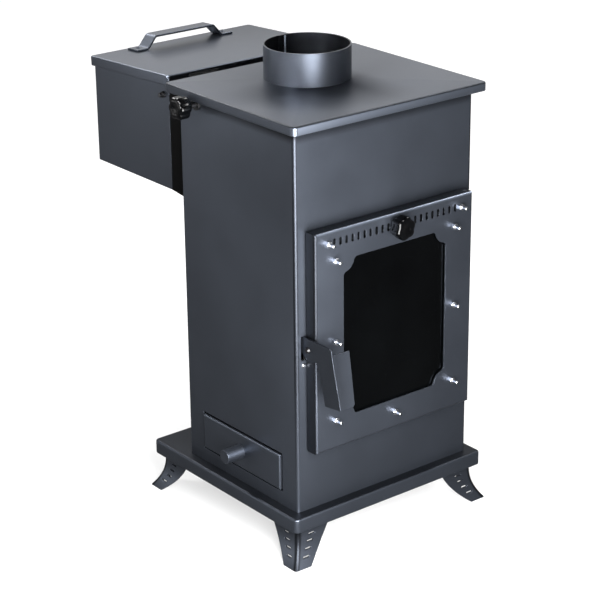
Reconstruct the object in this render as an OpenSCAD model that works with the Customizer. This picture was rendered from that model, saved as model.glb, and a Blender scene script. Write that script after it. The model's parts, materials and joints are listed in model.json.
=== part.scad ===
// Mini pellet stove: a folded sheet casing on a base plate with four pressed legs, a glazed door with an
// air slide, a side ash drawer, a flue collar on the hot plate and a lidded pellet hopper behind.
// Millimetres. X runs to the right, Y to the back, Z up from the floor.

/* [Casing] */
// Outside width of the casing
casing_w = 300; // [260:1:360]
// Outside depth of the casing
casing_d = 240; // [225:1:300]
// Height of the casing between the base plate and the top plate
casing_h = 533; // [520:1:600]
// Sheet thickness of the casing, door and drawer front
sheet = 2; // [1.5:0.1:2.5]
// Outside radius of a folded sheet corner
fold_r = 4; // [3:0.5:6]

/* [Top plate and flue] */
// Thickness of the top plate
top_t = 3; // [2:0.5:5]
// Height of the top plate's turned-down rim
top_rim = 12; // [9:0.5:16]
// Overhang of the top plate at each side
top_side = 12.5; // [8:0.5:20]
// Overhang of the top plate at the front
top_front = 15.5; // [8:0.5:25]
// Overhang of the top plate at the back
top_back = 19; // [10:0.5:22]
// Outside diameter of the flue collar
collar_d = 117; // [98:1:128]
// Height of the flue collar above the top plate
collar_h = 45; // [30:1:70]
// Wall of the flue collar
collar_t = 2; // [1.5:0.1:3]
// Distance of the flue axis behind the casing front
collar_y = 159; // [150:1:165]

/* [Base and legs] */
// Height of the base plate's turned-down rim
base_rim = 20; // [16:1:26]
// Thickness of the base plate
base_t = 2.5; // [2:0.1:4]
// Overhang of the base plate at the sides and the front
base_side = 16; // [12:1:24]
// Overhang of the base plate at the back
base_back = 70; // [40:1:90]
// Free height of the legs below the rim
leg_h = 52; // [40:1:70]
// Sheet thickness of the legs
leg_t = 2.5; // [2:0.1:4]
// Arm length of a leg where it leaves the rim
leg_top_w = 55; // [40:1:60]
// Arm length of a leg at the floor
leg_foot_w = 26.5; // [20:0.5:38]
// How far a leg stands inside the base plate's edge at its top
leg_inset = 10; // [8:0.5:14]
// How far a leg flares outwards on its way down
leg_flare = 15.7; // [8:0.1:20]

/* [Door] */
// Strip of the casing front left beside the door, each side
door_strip = 15; // [8:0.5:25]
// Height of the door
door_h = 304; // [290:1:330]
// Height of the door's lower edge above the base plate
door_lift = 88; // [80:1:110]
// Depth of the door pan
door_depth = 17.5; // [16:0.5:22]
// Gap between the door pan and the casing
door_gap = 3.5; // [2:0.1:5]
// Width of the glass opening
window_w = 176; // [150:1:180]
// Height of the glass opening
window_h = 220; // [200:1:224]
// Height of the glass opening above the door's lower edge
window_lift = 41.5; // [36:0.5:44]
// Radius of the hollow corners of the glass opening
notch_r = 18; // [10:1:22]
// Thickness of the glass
glass_t = 4; // [3:0.5:5]
// Thickness of the glass gasket
gasket_t = 2; // [1:0.5:3]
// Length of an air slot
slot_l = 11; // [8:0.5:13]
// Number of air slots each side of the knob
slot_count = 10; // [6:1:10]

/* [Latch] */
// Thickness of the latch handle plate
latch_t = 3; // [2.5:0.5:4]
// Height of the latch pivot above the door's lower edge
latch_lift = 147; // [120:1:170]
// Width of the handle's front flange at its top
grip_w = 29; // [22:1:34]
// Height of the handle's front flange
grip_h = 70; // [60:1:90]

/* [Ash drawer] */
// Width of the drawer front, along the casing's depth
drawer_w = 170; // [140:1:175]
// Height of the drawer front
drawer_h = 50.5; // [44:0.5:56]
// Height of the drawer front's lower edge above the base plate
drawer_lift = 22; // [18:1:26]
// Gap round the drawer front in the casing
drawer_gap = 3; // [1.5:0.1:4]
// Diameter of the drawer knob
drawer_knob_d = 20; // [14:0.5:24]
// Length of the drawer knob
drawer_knob_l = 28; // [20:1:36]

/* [Hopper] */
// How far the hopper stands in from the casing's sides
hopper_in = 15; // [8:0.5:25]
// Depth of the hopper
hopper_d = 180; // [150:1:220]
// Height of the hopper at its front wall
hopper_h = 159; // [150:1:190]
// Distance between the casing's back and the hopper
neck_l = 47; // [40:1:60]
// Slope of the hopper lid, falling to the back
lid_slope = 3; // [0:0.5:5]
// Gap between the hopper walls and the lid skirt
lid_gap = 3; // [2:0.5:5]
// Height of the lid skirt
lid_rim = 13.5; // [10:0.5:20]
// Length of the strap handle on the lid
strap_l = 166; // [140:1:200]
// Width of the strap handle
strap_w = 24; // [18:1:30]
// Height of the strap handle above the lid
strap_h = 19; // [16:1:30]

/* [Knobs] */
// Diameter across the lobes of a clamping knob
knob_d = 32; // [28:1:34]
// Thickness of a clamping knob's head
knob_h = 18; // [14:0.5:22]
// Number of lobes
knob_lobes = 6; // [5:1:8]

/* [Hidden] */
$fn = 48;
e = 0.01;              // overshoot of a cut
seat = 0.3;            // gap between pieces that move against each other
run = 0.05;            // radial clearance of a running fit
painted = "#474b53";
zinc = "#c9ccd2";
black = "#141517";

// Heights of the main levels
base_z = leg_h + base_rim;
plate_z = base_z + casing_h;
hot_z = plate_z + top_t;
half_w = casing_w / 2;
inner_w = casing_w - 2 * sheet;

// Door and what it holds, from front to back
door_w = casing_w - 2 * door_strip;
door_z = base_z + door_lift;
door_y = -door_gap - door_depth;
door_in_y = door_y + sheet;
door_half = door_w / 2;
door_top = door_z + door_h;
window_z = door_z + window_lift + window_h / 2;
fillet_r = 6;
glass_edge = 9;
glass_y = door_in_y + gasket_t;
frame_y = glass_y + glass_t;
frame_t = 2;
frame_inset = 16;      // from the pan's outside to the glass frame's edge
frame_low = 4;         // glass frame above the door's lower edge
stud_r = 2.5;
stud_out = 13;         // thread standing out of the door
stud_side = window_w / 2 + 14;
stud_rise = window_h / 2 + 1;
stud_low = 18;         // lowest stud below the glass opening
nut_af = 8;
nut_t = 4;
stud_free = 0.3;

// Air slots and slide
slot_z = door_top - 16.5;
slide_stud_in = 22;    // from the door's edge to the slide's stud
slide_stud_x = door_half - slide_stud_in;
slot_first = 13;       // from the knob to the first slot
slot_pitch = (slide_stud_x - slot_first) / slot_count;
slot_w = 0.4 * slot_pitch;
slide_travel = slot_pitch / 2;
slide_t = 1.5;
slide_h = 21;
slide_half = slide_stud_x + stud_r + 4;
slide_y = door_in_y + seat;

// Door opening of the casing and its rope
open_inset = 33;       // from the door's edge to the casing opening
rope_d = -frame_y - frame_t - seat;
rope_in = 3;           // from the opening's edge to the rope
rope_top_in = 16;
rope_w = door_w - 2 * open_inset + 2 * rope_in + rope_d;
rope_h = door_h - 2 * rope_top_in;
open_w = door_w - 2 * open_inset;
open_h = rope_h - rope_d - 2 * rope_in;

// Door hinge, its axis near the door's right edge
hinge_in = 6.5;
hinge_x = door_half - hinge_in;
hinge_y = -12;
pin_r = 3;
lug_t = 4;
lug_r = 4;
lug_web = 3;           // from the axis to the lug's edge on the door's side
lug_drop = 2;          // room between the pan's return and the lug

// Latch
latch_gap = 1.5;
latch_x = -door_half - latch_gap - latch_t;
latch_y = door_y + 9.5;
latch_z = door_z + latch_lift;
latch_hub = 14;
tongue_l = 23;
tongue_h = 14;
grip_lean = 14;        // degrees the flange leans out at its foot
grip_reach = 47.5;     // from the pivot to the flange's top edge
grip_depth = 31;       // width of the hanging side plate
tongue_top = latch_hub + 1;
latch_slot_h = 19 + tongue_top + seat;
strike_t = 3;
latch_slot_z = latch_z - 19;
strike_x = latch_x + latch_t / 2;
strike_screw_z = latch_slot_z - 6.5;
strike_screw_r = 2;
grip_low_w = 24;

// Ash drawer
drawer_z = base_z + drawer_lift;
drawer_y = casing_d / 2;
drawer_out = 3;
tray_t = 1.5;
tray_l = casing_w - 44;
tray_h = drawer_h - 6;
tray_w = drawer_w - 6;
rail_w = 15;
rail_in = 12;
drawer_screw_r = 2.5;

// Inside of the stove
shelf_z = door_z + 18;
shelf_t = 3;
shelf_room = 0.8;      // between the shelf's edges and the casing
ledge = 12;
ledge_end = 10;        // from the ledge's end to the sheet
pot_w = 90;
pot_h = 69;
pot_t = 3;
pot_y = 95;
chute_w = 80;
chute_t = 2;
chute_h = 70;
chute_foot_y = pot_y + pot_w / 2 + 3;
baffle_z = base_z + 406;
baffle_d = 147;

// Hopper and lid
hopper_w = casing_w - 2 * hopper_in;
neck_y = casing_d + neck_l;
neck_top = hot_z - 20;
lid_t = 2;
lid_fold = 3;
lid_axis_y = neck_y - 9.5;
lid_axis_z = neck_top + 6;
lid_top = hot_z - lid_axis_z;
seat_z = lid_top - lid_t - seat;
lid_w = hopper_w + 2 * lid_gap + 2 * lid_t;
lid_front = 9.5 - lid_gap - lid_t;
lid_d = hopper_d + 2 * lid_gap + 2 * lid_t;
neck_floor = 5.5;      // fall of the neck's floor towards the casing
hopper_z = lid_axis_z + seat_z / cos(lid_slope) - 9.5 * tan(lid_slope) - hopper_h;
chute_z = hopper_z - neck_floor + 2 * sheet;
throat_w = 120;
hopper_bolt_r = 3;
knuckle_r = 4;
lid_pin_r = 2;
lid_hinge_x = 80;
lid_knuckle_l = 16;
hopper_bolt_y = neck_y + 12;
hopper_bolt_z = hot_z - 30;

// Damper under the flue
shaft_r = 4;
shaft_y = collar_y + 44;
shaft_z = hot_z - 20;
knob_hub_h = 4;
knob_hub_r = 9;
damper_out = 13.5;     // free shaft between the casing and the knob
flap_l = 94;
flap_half = 52;
flap_t = 2;

// Middle of the whole stove, which is the origin of the part
foot_out = leg_flare - leg_inset;
reach_left = half_w + damper_out + knob_hub_h + knob_h;
reach_right = half_w + base_side + foot_out;
grip_foot_y = latch_y - grip_reach - grip_h * tan(grip_lean);
lid_back_y = lid_axis_y + (lid_front +
    lid_d - lid_fold) * cos(lid_slope) + (lid_top - lid_fold) * sin(lid_slope) + lid_fold;
mid_x = (reach_right - reach_left) / 2;
mid_y = (grip_foot_y + lid_back_y) / 2;

module at_origin() {
    translate([-mid_x, -mid_y, 0]) children();
}

// Points of an arc round c from angle a0 to a1
function arc(c, r, a0, a1, n) =
    [for (i = [0:n]) c + r * [cos(a0 + (a1 - a0) * i / n), sin(a0 + (a1 - a0) * i / n)]];

function turned(v, a) = [v.x * cos(a) - v.y * sin(a), v.x * sin(a) + v.y * cos(a)];

module drill_x(r, l) {
    rotate([0, 90, 0]) cylinder(r = r, h = l);
}

module drill_y(r, l) {
    rotate([-90, 0, 0]) cylinder(r = r, h = l);
}

// Upright outline with its two top corners round, foot on the axis
module arched(w, h, r) {
    translate([-w / 2, 0]) square([w, h - r]);
    translate([-w / 2 + r, 0]) square([w - 2 * r, h]);
    for (s = [-1, 1]) translate([s * (w / 2 - r), h - r]) circle(r);
}

// Solid block whose four top edges are round, centred on the axis
module round_topped(w, d, h, r) {
    intersection() {
        rotate([90, 0, 0]) linear_extrude(d, center = true) arched(w, h, r);
        rotate([90, 0, 90]) linear_extrude(w, center = true) arched(d, h, r);
    }
}

// Folded tray lying upside down: a plate with a turned-down rim all round
module folded_tray(w, d, h, t, r) {
    difference() {
        round_topped(w, d, h, r);
        translate([0, 0, -e]) round_topped(w - 2 * t, d - 2 * t, h - t + e, max(r - t, 0.5));
    }
}

// Obround of overall length l and width w, long side along Y
module obround(w, l) {
    square([w, l - w], center = true);
    for (s = [-1, 1]) translate([0, s * (l - w) / 2]) circle(w / 2);
}

module hex_nut(af, t, bore_r) {
    difference() {
        cylinder(r = af / sqrt(3), h = t, $fn = 6);
        translate([0, 0, -e]) cylinder(r = bore_r, h = t + 2 * e);
    }
}

// Rod with a small chamfer at its far end
module rod(r, l) {
    cylinder(r = r, h = l - 0.8);
    translate([0, 0, l - 0.8]) cylinder(r1 = r, r2 = r - 0.8, h = 0.8);
}

// Knob head with hollows between its lobes, hub at the bottom
module lobe_knob(bore_r, bore_l) {
    hollow_r = knob_d * 0.16;
    difference() {
        union() {
            cylinder(r = knob_hub_r, h = knob_hub_h + e);
            translate([0, 0, knob_hub_h]) cylinder(r1 = knob_d / 2 - 2, r2 = knob_d / 2, h = 2);
            translate([0, 0, knob_hub_h + 2]) cylinder(r = knob_d / 2, h = knob_h - 4);
            translate([0, 0, knob_hub_h + knob_h - 2])
                cylinder(r1 = knob_d / 2, r2 = knob_d / 2 - 2, h = 2);
        }
        for (i = [0:knob_lobes - 1]) rotate(360 * i / knob_lobes)
            translate([knob_d / 2 + hollow_r * 0.55, 0, knob_hub_h - e])
                cylinder(r = hollow_r, h = knob_h + 2 * e);
        translate([0, 0, -e]) cylinder(r = bore_r, h = bore_l + e);
    }
}

// Casing

module casing() {
    at_origin() color(painted) difference() {
        translate([0, 0, base_z]) linear_extrude(casing_h) casing_plan();
        translate([-open_w / 2, -e, door_z + (door_h - open_h) / 2])
            cube([open_w, sheet + 2 * e, open_h]);
        translate([latch_x - 2.5, -e, latch_slot_z]) cube([latch_t + 5, sheet + 2 * e, latch_slot_h]);
        translate([-half_w - e, drawer_y - drawer_w / 2 - drawer_gap, drawer_z - drawer_gap])
            cube([sheet + 2 * e, drawer_w + 2 * drawer_gap, drawer_h + 2 * drawer_gap]);
        translate([-half_w - e, shaft_y, shaft_z]) drill_x(shaft_r + run, casing_w + 2 * e);
        translate([strike_x, -e, strike_screw_z]) drill_y(strike_screw_r + e, sheet + 2 * e);
    }
}

// Front and both sides are one folded sheet, open at the back
module casing_plan() {
    difference() {
        wrap(casing_w, casing_d, fold_r);
        translate([0, sheet]) wrap(inner_w, casing_d, max(fold_r - sheet, 0.5));
    }
}

module wrap(w, d, r) {
    translate([-w / 2, r]) square([w, d - r]);
    translate([-w / 2 + r, 0]) square([w - 2 * r, d]);
    for (s = [-1, 1]) translate([s * (w / 2 - r), r]) circle(r);
}

module rear_panel() {
    at_origin() color(painted) difference() {
        translate([-inner_w / 2, casing_d - sheet, base_z]) cube([inner_w, sheet, casing_h]);
        translate([-chute_w / 2, casing_d - sheet - e, chute_z]) cube([chute_w, sheet + 2 * e, chute_h]);
    }
}

module top_plate() {
    w = casing_w + 2 * top_side;
    d = casing_d + top_front + top_back;
    at_origin() color(painted) difference() {
        translate([0, d / 2 - top_front, hot_z - top_rim]) folded_tray(w, d, top_rim, top_t, fold_r + 1);
        translate([0, collar_y, plate_z - e])
            cylinder(r = collar_d / 2 - collar_t, h = top_t + 2 * e, $fn = 96);
    }
}

module flue_collar() {
    r = collar_d / 2;
    lap_t = 1.2;
    at_origin() color(painted) translate([0, collar_y, hot_z]) {
        difference() {
            cylinder(r = r, h = collar_h, $fn = 96);
            translate([0, 0, -e]) cylinder(r = r - collar_t, h = collar_h + 2 * e, $fn = 96);
        }
        rotate(84) rotate_extrude(angle = 10, $fn = 96)
            translate([r - collar_t - lap_t, 0]) square([lap_t + 0.2, collar_h]);
    }
}

module base_plate() {
    w = casing_w + 2 * base_side;
    d = casing_d + base_side + base_back;
    at_origin() color(painted) translate([0, d / 2 - base_side, leg_h])
        folded_tray(w, d, base_rim, base_t, 6);
}

// Legs: two curved arms that meet in a fold and flare outwards on the way down

leg_top = leg_h + base_rim - base_t;
leg_bend = leg_h - 7;
leg_arc_r = (leg_bend * leg_bend + leg_flare * leg_flare) / (2 * leg_flare);
leg_steps = 10;
function leg_out(z) = z >= leg_bend ? 0 :
    leg_arc_r - sqrt(leg_arc_r * leg_arc_r - (leg_bend - z) * (leg_bend - z));
function leg_arm(z) = leg_foot_w + (leg_top_w - leg_foot_w) * min(z, leg_h) / leg_h;
leg_levels = [for (i = [0:leg_steps]) leg_bend * i / leg_steps];

// Curved strip seen along the arm: x outwards, y up
module leg_strip() {
    polygon(concat([for (z = leg_levels) [leg_out(z), z]], [[0, leg_top], [-leg_t, leg_top]],
        [for (i = [leg_steps:-1:0]) [leg_out(leg_levels[i]) - leg_t, leg_levels[i]]]));
}

// Arm seen from outside: x from the fold along the arm, y up
module leg_outline() {
    polygon(concat([for (z = leg_levels) [-leg_out(z), z]], [[0, leg_top], [leg_top_w, leg_top]],
        [for (i = [leg_steps:-1:0]) [leg_arm(leg_levels[i]) - leg_out(leg_levels[i]), leg_levels[i]]]));
}

module leg_arm_plate() {
    slot_first_z = 0.23 * leg_h;
    slot_rise = 0.177 * leg_h;
    slot_t = leg_h / 20;
    slot_l = leg_top_w / 5;
    difference() {
        intersection() {
            translate([-leg_flare - 1, 0, 0]) rotate([90, 0, 90])
                linear_extrude(leg_top_w + leg_flare + 2) mirror([1, 0]) leg_strip();
            translate([0, leg_t + 1, 0]) rotate([90, 0, 0]) linear_extrude(leg_flare + leg_t + 3)
                leg_outline();
        }
        for (i = [0:3]) {
            z = slot_first_z + slot_rise * i;
            translate([leg_arm(z) / 2 - leg_out(z) - slot_l / 2, -leg_flare - 1, z - slot_t / 2])
                cube([slot_l, leg_flare + leg_t + 2, slot_t]);
        }
    }
}

// Leg with its fold at the origin and its arms along +X and +Y
module leg() {
    leg_arm_plate();
    mirror([1, -1, 0]) leg_arm_plate();
}

module placed_leg(right, rear) {
    x = half_w + base_side - leg_inset;
    y0 = -base_side + leg_inset;
    y1 = casing_d + base_back - leg_inset;
    at_origin() color(painted) translate([right ? x : -x, rear ? y1 : y0, 0])
        mirror([right ? 1 : 0, 0, 0]) mirror([0, rear ? 1 : 0, 0]) leg();
}

module leg_front_left() { placed_leg(false, false); }
module leg_front_right() { placed_leg(true, false); }
module leg_rear_left() { placed_leg(false, true); }
module leg_rear_right() { placed_leg(true, true); }

// Inside of the firebox

module ledge_strips() {
    deep = casing_d - 2 * sheet - 2 * ledge_end;
    at_origin() color(painted) for (s = [-1, 1], z = [shelf_z, baffle_z])
        translate([s > 0 ? inner_w / 2 - ledge : -inner_w / 2, sheet + ledge_end, z - 2]) {
            cube([ledge, deep, 2]);
            translate([s > 0 ? ledge - 2 : 0, 0, -ledge]) cube([2, deep, ledge]);
        }
}

module smoke_baffle() {
    at_origin() color(painted) translate([-inner_w / 2 + 1, sheet + 1, baffle_z])
        cube([inner_w - 2, baffle_d, 2]);
}

module pot_shelf() {
    hole = pot_w - 20;
    at_origin() color(painted) difference() {
        translate([-inner_w / 2 + shelf_room, sheet + shelf_room, shelf_z])
            cube([inner_w - 2 * shelf_room, casing_d - 2 * sheet - 2 * shelf_room, shelf_t]);
        translate([-hole / 2, pot_y - hole / 2, shelf_z - e]) cube([hole, hole, shelf_t + 2 * e]);
    }
}

// Side view of the pellet chute, grown by g all round in its own slope
module chute_side(g) {
    top_y = casing_d - sheet;
    foot_z = shelf_z + shelf_t + pot_h + 6;
    polygon([[top_y + (g > 0 ? 0 : e), chute_z - g], [chute_foot_y - (g > 0 ? 0 : e), foot_z - g],
        [chute_foot_y - (g > 0 ? 0 : e), foot_z + chute_h + g],
            [top_y + (g > 0 ? 0 : e), chute_z + chute_h + g]]);
}

module feed_chute() {
    at_origin() color(painted) difference() {
        rotate([90, 0, 90]) linear_extrude(chute_w + 2 * chute_t, center = true) chute_side(chute_t * 2);
        rotate([90, 0, 90]) linear_extrude(chute_w, center = true) chute_side(0);
    }
}

module burn_pot() {
    at_origin() color(black) translate([0, pot_y, shelf_z + shelf_t + seat]) difference() {
        translate([-pot_w / 2, -pot_w / 2, 0]) cube([pot_w, pot_w, pot_h]);
        translate([-pot_w / 2 + pot_t, -pot_w / 2 + pot_t, pot_t])
            cube([pot_w - 2 * pot_t, pot_w - 2 * pot_t, pot_h]);
        for (x = [-2:2], y = [-2:2]) translate([x * 12, y * 12, -e])
            cylinder(d = 5, h = pot_t + 2 * e, $fn = 16);
        for (x = [-3:3], s = [-1, 1]) translate([x * 11, s * (pot_w / 2 - pot_t / 2), pot_h * 0.35])
            rotate([90, 0, 0]) cylinder(d = 5, h = pot_t + 2, center = true, $fn = 16);
    }
}

// Ash drawer and its rails

module drawer_rails() {
    h = drawer_z + 2 - seat - base_z;
    at_origin() color(painted) for (s = [-1, 1])
        translate([-tray_l / 2 - 8, drawer_y + s * (tray_w / 2 - rail_in) - rail_w / 2, base_z])
            difference() {
            cube([tray_l, rail_w, h]);
            translate([-e, 2, -e]) cube([tray_l + 2 * e, rail_w - 4, h - 2 + e]);
        }
}

module drawer_tray() {
    x0 = -half_w + sheet;
    at_origin() color(painted) translate([x0, drawer_y - tray_w / 2, drawer_z + 2]) difference() {
        cube([tray_l, tray_w, tray_h]);
        translate([tray_t, tray_t, tray_t]) cube([tray_l - 2 * tray_t, tray_w - 2 * tray_t, tray_h]);
        translate([-e, tray_w / 2, drawer_h / 2 - 2]) drill_x(drawer_screw_r + e, tray_t + 2 * e);
    }
}

module drawer_front() {
    depth = drawer_out + sheet;
    at_origin() color(painted) difference() {
        translate([-half_w + sheet, drawer_y, drawer_z + drawer_h / 2]) rotate([0, -90, 0])
            round_topped(drawer_h, drawer_w, depth, 2);
        translate([-half_w - drawer_out - e, drawer_y, drawer_z + drawer_h / 2])
            drill_x(drawer_screw_r + e, depth + 2 * e);
    }
}

module drawer_knob() {
    r = drawer_knob_d / 2;
    at_origin() color(black) translate([-half_w - drawer_out, drawer_y, drawer_z + drawer_h / 2])
        rotate([0, -90, 0])
        difference() {
            union() {
                cylinder(r = r, h = drawer_knob_l - 1);
                translate([0, 0, drawer_knob_l - 1]) cylinder(r1 = r, r2 = r - 1, h = 1);
            }
            translate([0, 0, -e]) cylinder(r = drawer_screw_r + e, h = drawer_knob_l / 2);
        }
}

module drawer_screw() {
    inside = -half_w + sheet + tray_t;
    at_origin() color(zinc) translate([inside, drawer_y, drawer_z + drawer_h / 2]) {
        cylinder_x(4.5, 2.5);
        rotate([0, -90, 0])
            cylinder(r = drawer_screw_r, h = tray_t + sheet + drawer_out + drawer_knob_l / 2 - 1);
    }
}

module cylinder_x(r, l) {
    drill_x(r, l);
}

// Door

module door_pan() {
    lug_room = lug_t + 4;
    at_origin() color(painted) difference() {
        translate([0, -door_gap, door_z + door_h / 2]) rotate([90, 0, 0])
            folded_tray(door_w, door_h, door_depth, sheet, fold_r - 0.5);
        translate([0, door_in_y + e, window_z]) rotate([90, 0, 0]) linear_extrude(sheet + 2 * e)
            window_outline();
        translate([0, door_in_y + e, slot_z]) rotate([90, 0, 0]) linear_extrude(sheet + 2 * e) {
            air_slots();
            translate([slide_travel / 2, 0]) rotate(90)
                obround(2 * stud_r + 1, 2 * stud_r + 1 + slide_travel);
        }
        for (p = stud_places()) translate([p.x, door_y - e, p.y])
            drill_y(stud_r + stud_free, sheet + 2 * e);
        for (s = [-1, 1]) translate([s * slide_stud_x, door_y - e, slot_z])
            drill_y(stud_r + run, sheet + 2 * e);
        translate([-door_half - e, latch_y, latch_z]) drill_x(stud_r + run, sheet + 2 * e);
        for (z = [door_z, door_top - sheet]) translate([hinge_x, hinge_y, z - e])
            cylinder(r = pin_r + run, h = sheet + 2 * e);
        for (z = [door_z + sheet, door_top - sheet - lug_room])
            translate([door_half - sheet - e, door_in_y, z]) cube([sheet + 2 * e, door_depth, lug_room]);
    }
}

// Glass opening: straight sides, hollow corners, rounded cusps
function window_corner() = let (
    reach = sqrt(pow(notch_r + fillet_r, 2) - pow(fillet_r, 2)),
    lean = atan2(reach, fillet_r),
    low = [-fillet_r, -reach],
    high = [-reach, -fillet_r])
    concat(arc(low, fillet_r, 0, lean, 5), arc([0, 0], notch_r, 180 + lean, 270 - lean, 8),
        arc(high, fillet_r, 90 - lean, 90, 5));

module window_outline() {
    polygon([for (k = [0:3], p = window_corner()) let (q = turned(p, 90 * k))
        q + [(k == 0 || k == 3 ? 1 : -1) * window_w / 2, (k < 2 ? 1 : -1) * window_h / 2]]);
}

module air_slots() {
    for (s = [-1, 1], i = [0:slot_count - 1]) translate([s * (slot_first + i * slot_pitch), 0])
        obround(slot_w, slot_l);
}

function stud_places() =
    concat([for (s = [-1, 1], k = [-1, 0, 1]) [s * stud_side, window_z + k * stud_rise]],
    [[0, window_z - window_h / 2 - stud_low]]);

module door_glass() {
    at_origin() color("#101314", 0.6)
        translate([-window_w / 2 - glass_edge, glass_y, window_z - window_h / 2 - glass_edge - 2])
        cube([window_w + 2 * glass_edge, glass_t, window_h + 2 * glass_edge + 4]);
}

module glass_gasket() {
    w = window_w + 2 * glass_edge;
    h = window_h + 2 * glass_edge + 4;
    at_origin() color("#3a3a38") translate([0, door_in_y, window_z]) difference() {
        translate([-w / 2, 0, -h / 2]) cube([w, gasket_t, h]);
        translate([-w / 2 + 7, -e, -h / 2 + 8]) cube([w - 14, gasket_t + 2 * e, h - 16]);
    }
}

module glass_frame() {
    w = door_w - 2 * frame_inset;
    h = door_h - 2 * frame_low;
    hold = 4;
    air_gap = glass_edge + 5;
    at_origin() color(painted) difference() {
        translate([-w / 2, frame_y, door_z + frame_low]) cube([w, frame_t, h]);
        translate([-window_w / 2 + hold, frame_y - e, window_z - window_h / 2 - 1.5])
            cube([window_w - 2 * hold, frame_t + 2 * e, window_h + air_gap + 1.5]);
        for (s = [-1, 1]) translate([s * slide_stud_x, frame_y - e, slot_z])
            drill_y(stud_r + 2, frame_t + 2 * e);
        translate([slide_travel / 2, frame_y - e, slot_z]) drill_y(stud_r + 6, frame_t + 2 * e);
    }
}

module glass_studs() {
    at_origin() color(zinc) for (p = stud_places())
        translate([p.x, frame_y, p.y]) rotate([90, 0, 0]) rod(stud_r, frame_y - door_y + stud_out);
}

module glass_nuts() {
    at_origin() color(zinc) for (p = stud_places())
        translate([p.x, door_y, p.y]) rotate([90, 0, 0]) hex_nut(nut_af, nut_t, stud_r + e);
}

module slide_studs() {
    head_y = slide_y + slide_t + seat;
    at_origin() color(zinc) for (s = [-1, 1]) translate([s * slide_stud_x, head_y, slot_z]) {
        rotate([90, 0, 0]) rod(stud_r, head_y - door_y + stud_out);
        drill_y(5, 2.5);
    }
}

module slide_nuts() {
    at_origin() color(zinc) for (s = [-1, 1])
        translate([s * slide_stud_x, door_y, slot_z]) rotate([90, 0, 0])
            hex_nut(nut_af, nut_t, stud_r + e);
}

module door_rope() {
    r = rope_d / 2;
    corner = 14;
    y = -r;
    at_origin() color("#6f6a62") translate([0, y, door_z + door_h / 2]) rotate([90, 0, 0]) {
        for (s = [-1, 1]) {
            translate([s * rope_w / 2, -rope_h / 2 + corner, 0]) rotate([-90, 0, 0])
                cylinder(r = r, h = rope_h - 2 * corner);
            translate([-rope_w / 2 + corner, s * rope_h / 2, 0]) rotate([0, 90, 0])
                cylinder(r = r, h = rope_w - 2 * corner);
        }
        for (a = [0:3])
            translate([(a == 0 || a == 3 ? 1 : -1) * (rope_w / 2 - corner),
            (a < 2 ? 1 : -1) * (rope_h / 2 - corner), 0])
            rotate(90 * a) rotate_extrude(angle = 90) translate([corner, 0]) circle(r);
    }
}

// Door hinge: lugs on the casing reach into the pan, pins turn in its top and bottom returns

lug_top_z = door_top - sheet - lug_drop - lug_t;
lug_low_z = door_z + sheet + lug_drop;

module hinge_lugs() {
    at_origin() color(painted) for (z = [lug_top_z, lug_low_z]) translate([hinge_x, hinge_y, z])
        difference() {
        union() {
            cylinder(r = lug_r, h = lug_t);
            translate([-lug_r, 0, 0]) cube([lug_r + lug_web, -hinge_y, lug_t]);
        }
        translate([0, 0, -e]) cylinder(r = pin_r + e, h = lug_t + 2 * e);
    }
}

module hinge_pins() {
    l = lug_t + lug_drop + sheet - 0.2;
    at_origin() color(zinc) translate([hinge_x, hinge_y, 0]) {
        translate([0, 0, lug_top_z]) cylinder(r = pin_r, h = l);
        translate([0, 0, lug_low_z + lug_t - l]) cylinder(r = pin_r, h = l);
    }
}

module hinge_washer() {
    at_origin() color(zinc) translate([hinge_x, hinge_y, lug_top_z + lug_t]) difference() {
        cylinder(r = lug_r, h = lug_drop - seat);
        translate([0, 0, -e]) cylinder(r = pin_r + e, h = lug_drop);
    }
}

// Air slide behind the slots, moved and clamped by the knob

module air_slide() {
    at_origin() color(painted) translate([0, slide_y + slide_t, slot_z]) rotate([90, 0, 0])
        linear_extrude(slide_t) difference() {
        translate([-slide_half, -slide_h / 2]) square([2 * slide_half, slide_h]);
        air_slots();
        circle(stud_r + run);
        for (s = [-1, 1]) translate([s * slide_stud_x - slide_travel / 2, 0])
            rotate(90) obround(2 * stud_r + 0.8, 2 * stud_r + 0.8 + slide_travel);
    }
}

module air_slide_nut() {
    at_origin() color(zinc) translate([0, slide_y + slide_t, slot_z]) rotate([-90, 0, 0])
        hex_nut(nut_af, 3, stud_r + run);
}

module air_knob_stud() {
    back = slide_y + slide_t + 3;
    at_origin() color(zinc) translate([0, back, slot_z]) rotate([90, 0, 0])
        cylinder(r = stud_r, h = back - door_y + seat + 14);
}

module air_knob() {
    at_origin() color(black) translate([0, door_y - seat, slot_z]) rotate([90, 0, 0])
        lobe_knob(stud_r + e, 14.2);
}

// Latch handle: a side plate that turns on a bolt in the door's return, with a flange as the grip

module latch_side() {
    foot = grip_h * tan(grip_lean);
    top = tongue_top;
    difference() {
        union() {
            circle(latch_hub);
            translate([0, -tongue_h / 2]) square([tongue_l, tongue_h / 2 + tongue_top]);
            polygon([[0, top], [-grip_reach + 6, top], [-grip_reach + 1, top - 2],
                [-grip_reach, top - 8],
                [-grip_reach - foot, top - 8 - grip_h],
                    [-grip_reach - foot + grip_depth, top - 12 - grip_h],
                [-26, -34], [-17, -12], [0, -latch_hub]]);
        }
        circle(stud_r + run);
    }
}

module latch_handle() {
    lean = grip_lean;
    top = tongue_top - 8;
    at_origin() color(painted) translate([latch_x, latch_y, latch_z]) {
        rotate([90, 0, 90]) linear_extrude(latch_t) latch_side();
        translate([0, -grip_reach, top]) rotate([-lean, 0, 0]) translate([0, latch_t, 0])
            rotate([90, 0, 0])
            linear_extrude(latch_t) grip_outline();
    }
}

module grip_outline() {
    l = grip_h / cos(grip_lean);
    polygon([[0, 0], [0, -l], [grip_low_w - 3, -l], [grip_low_w, -l + 3], [grip_w, 0]]);
}

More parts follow.
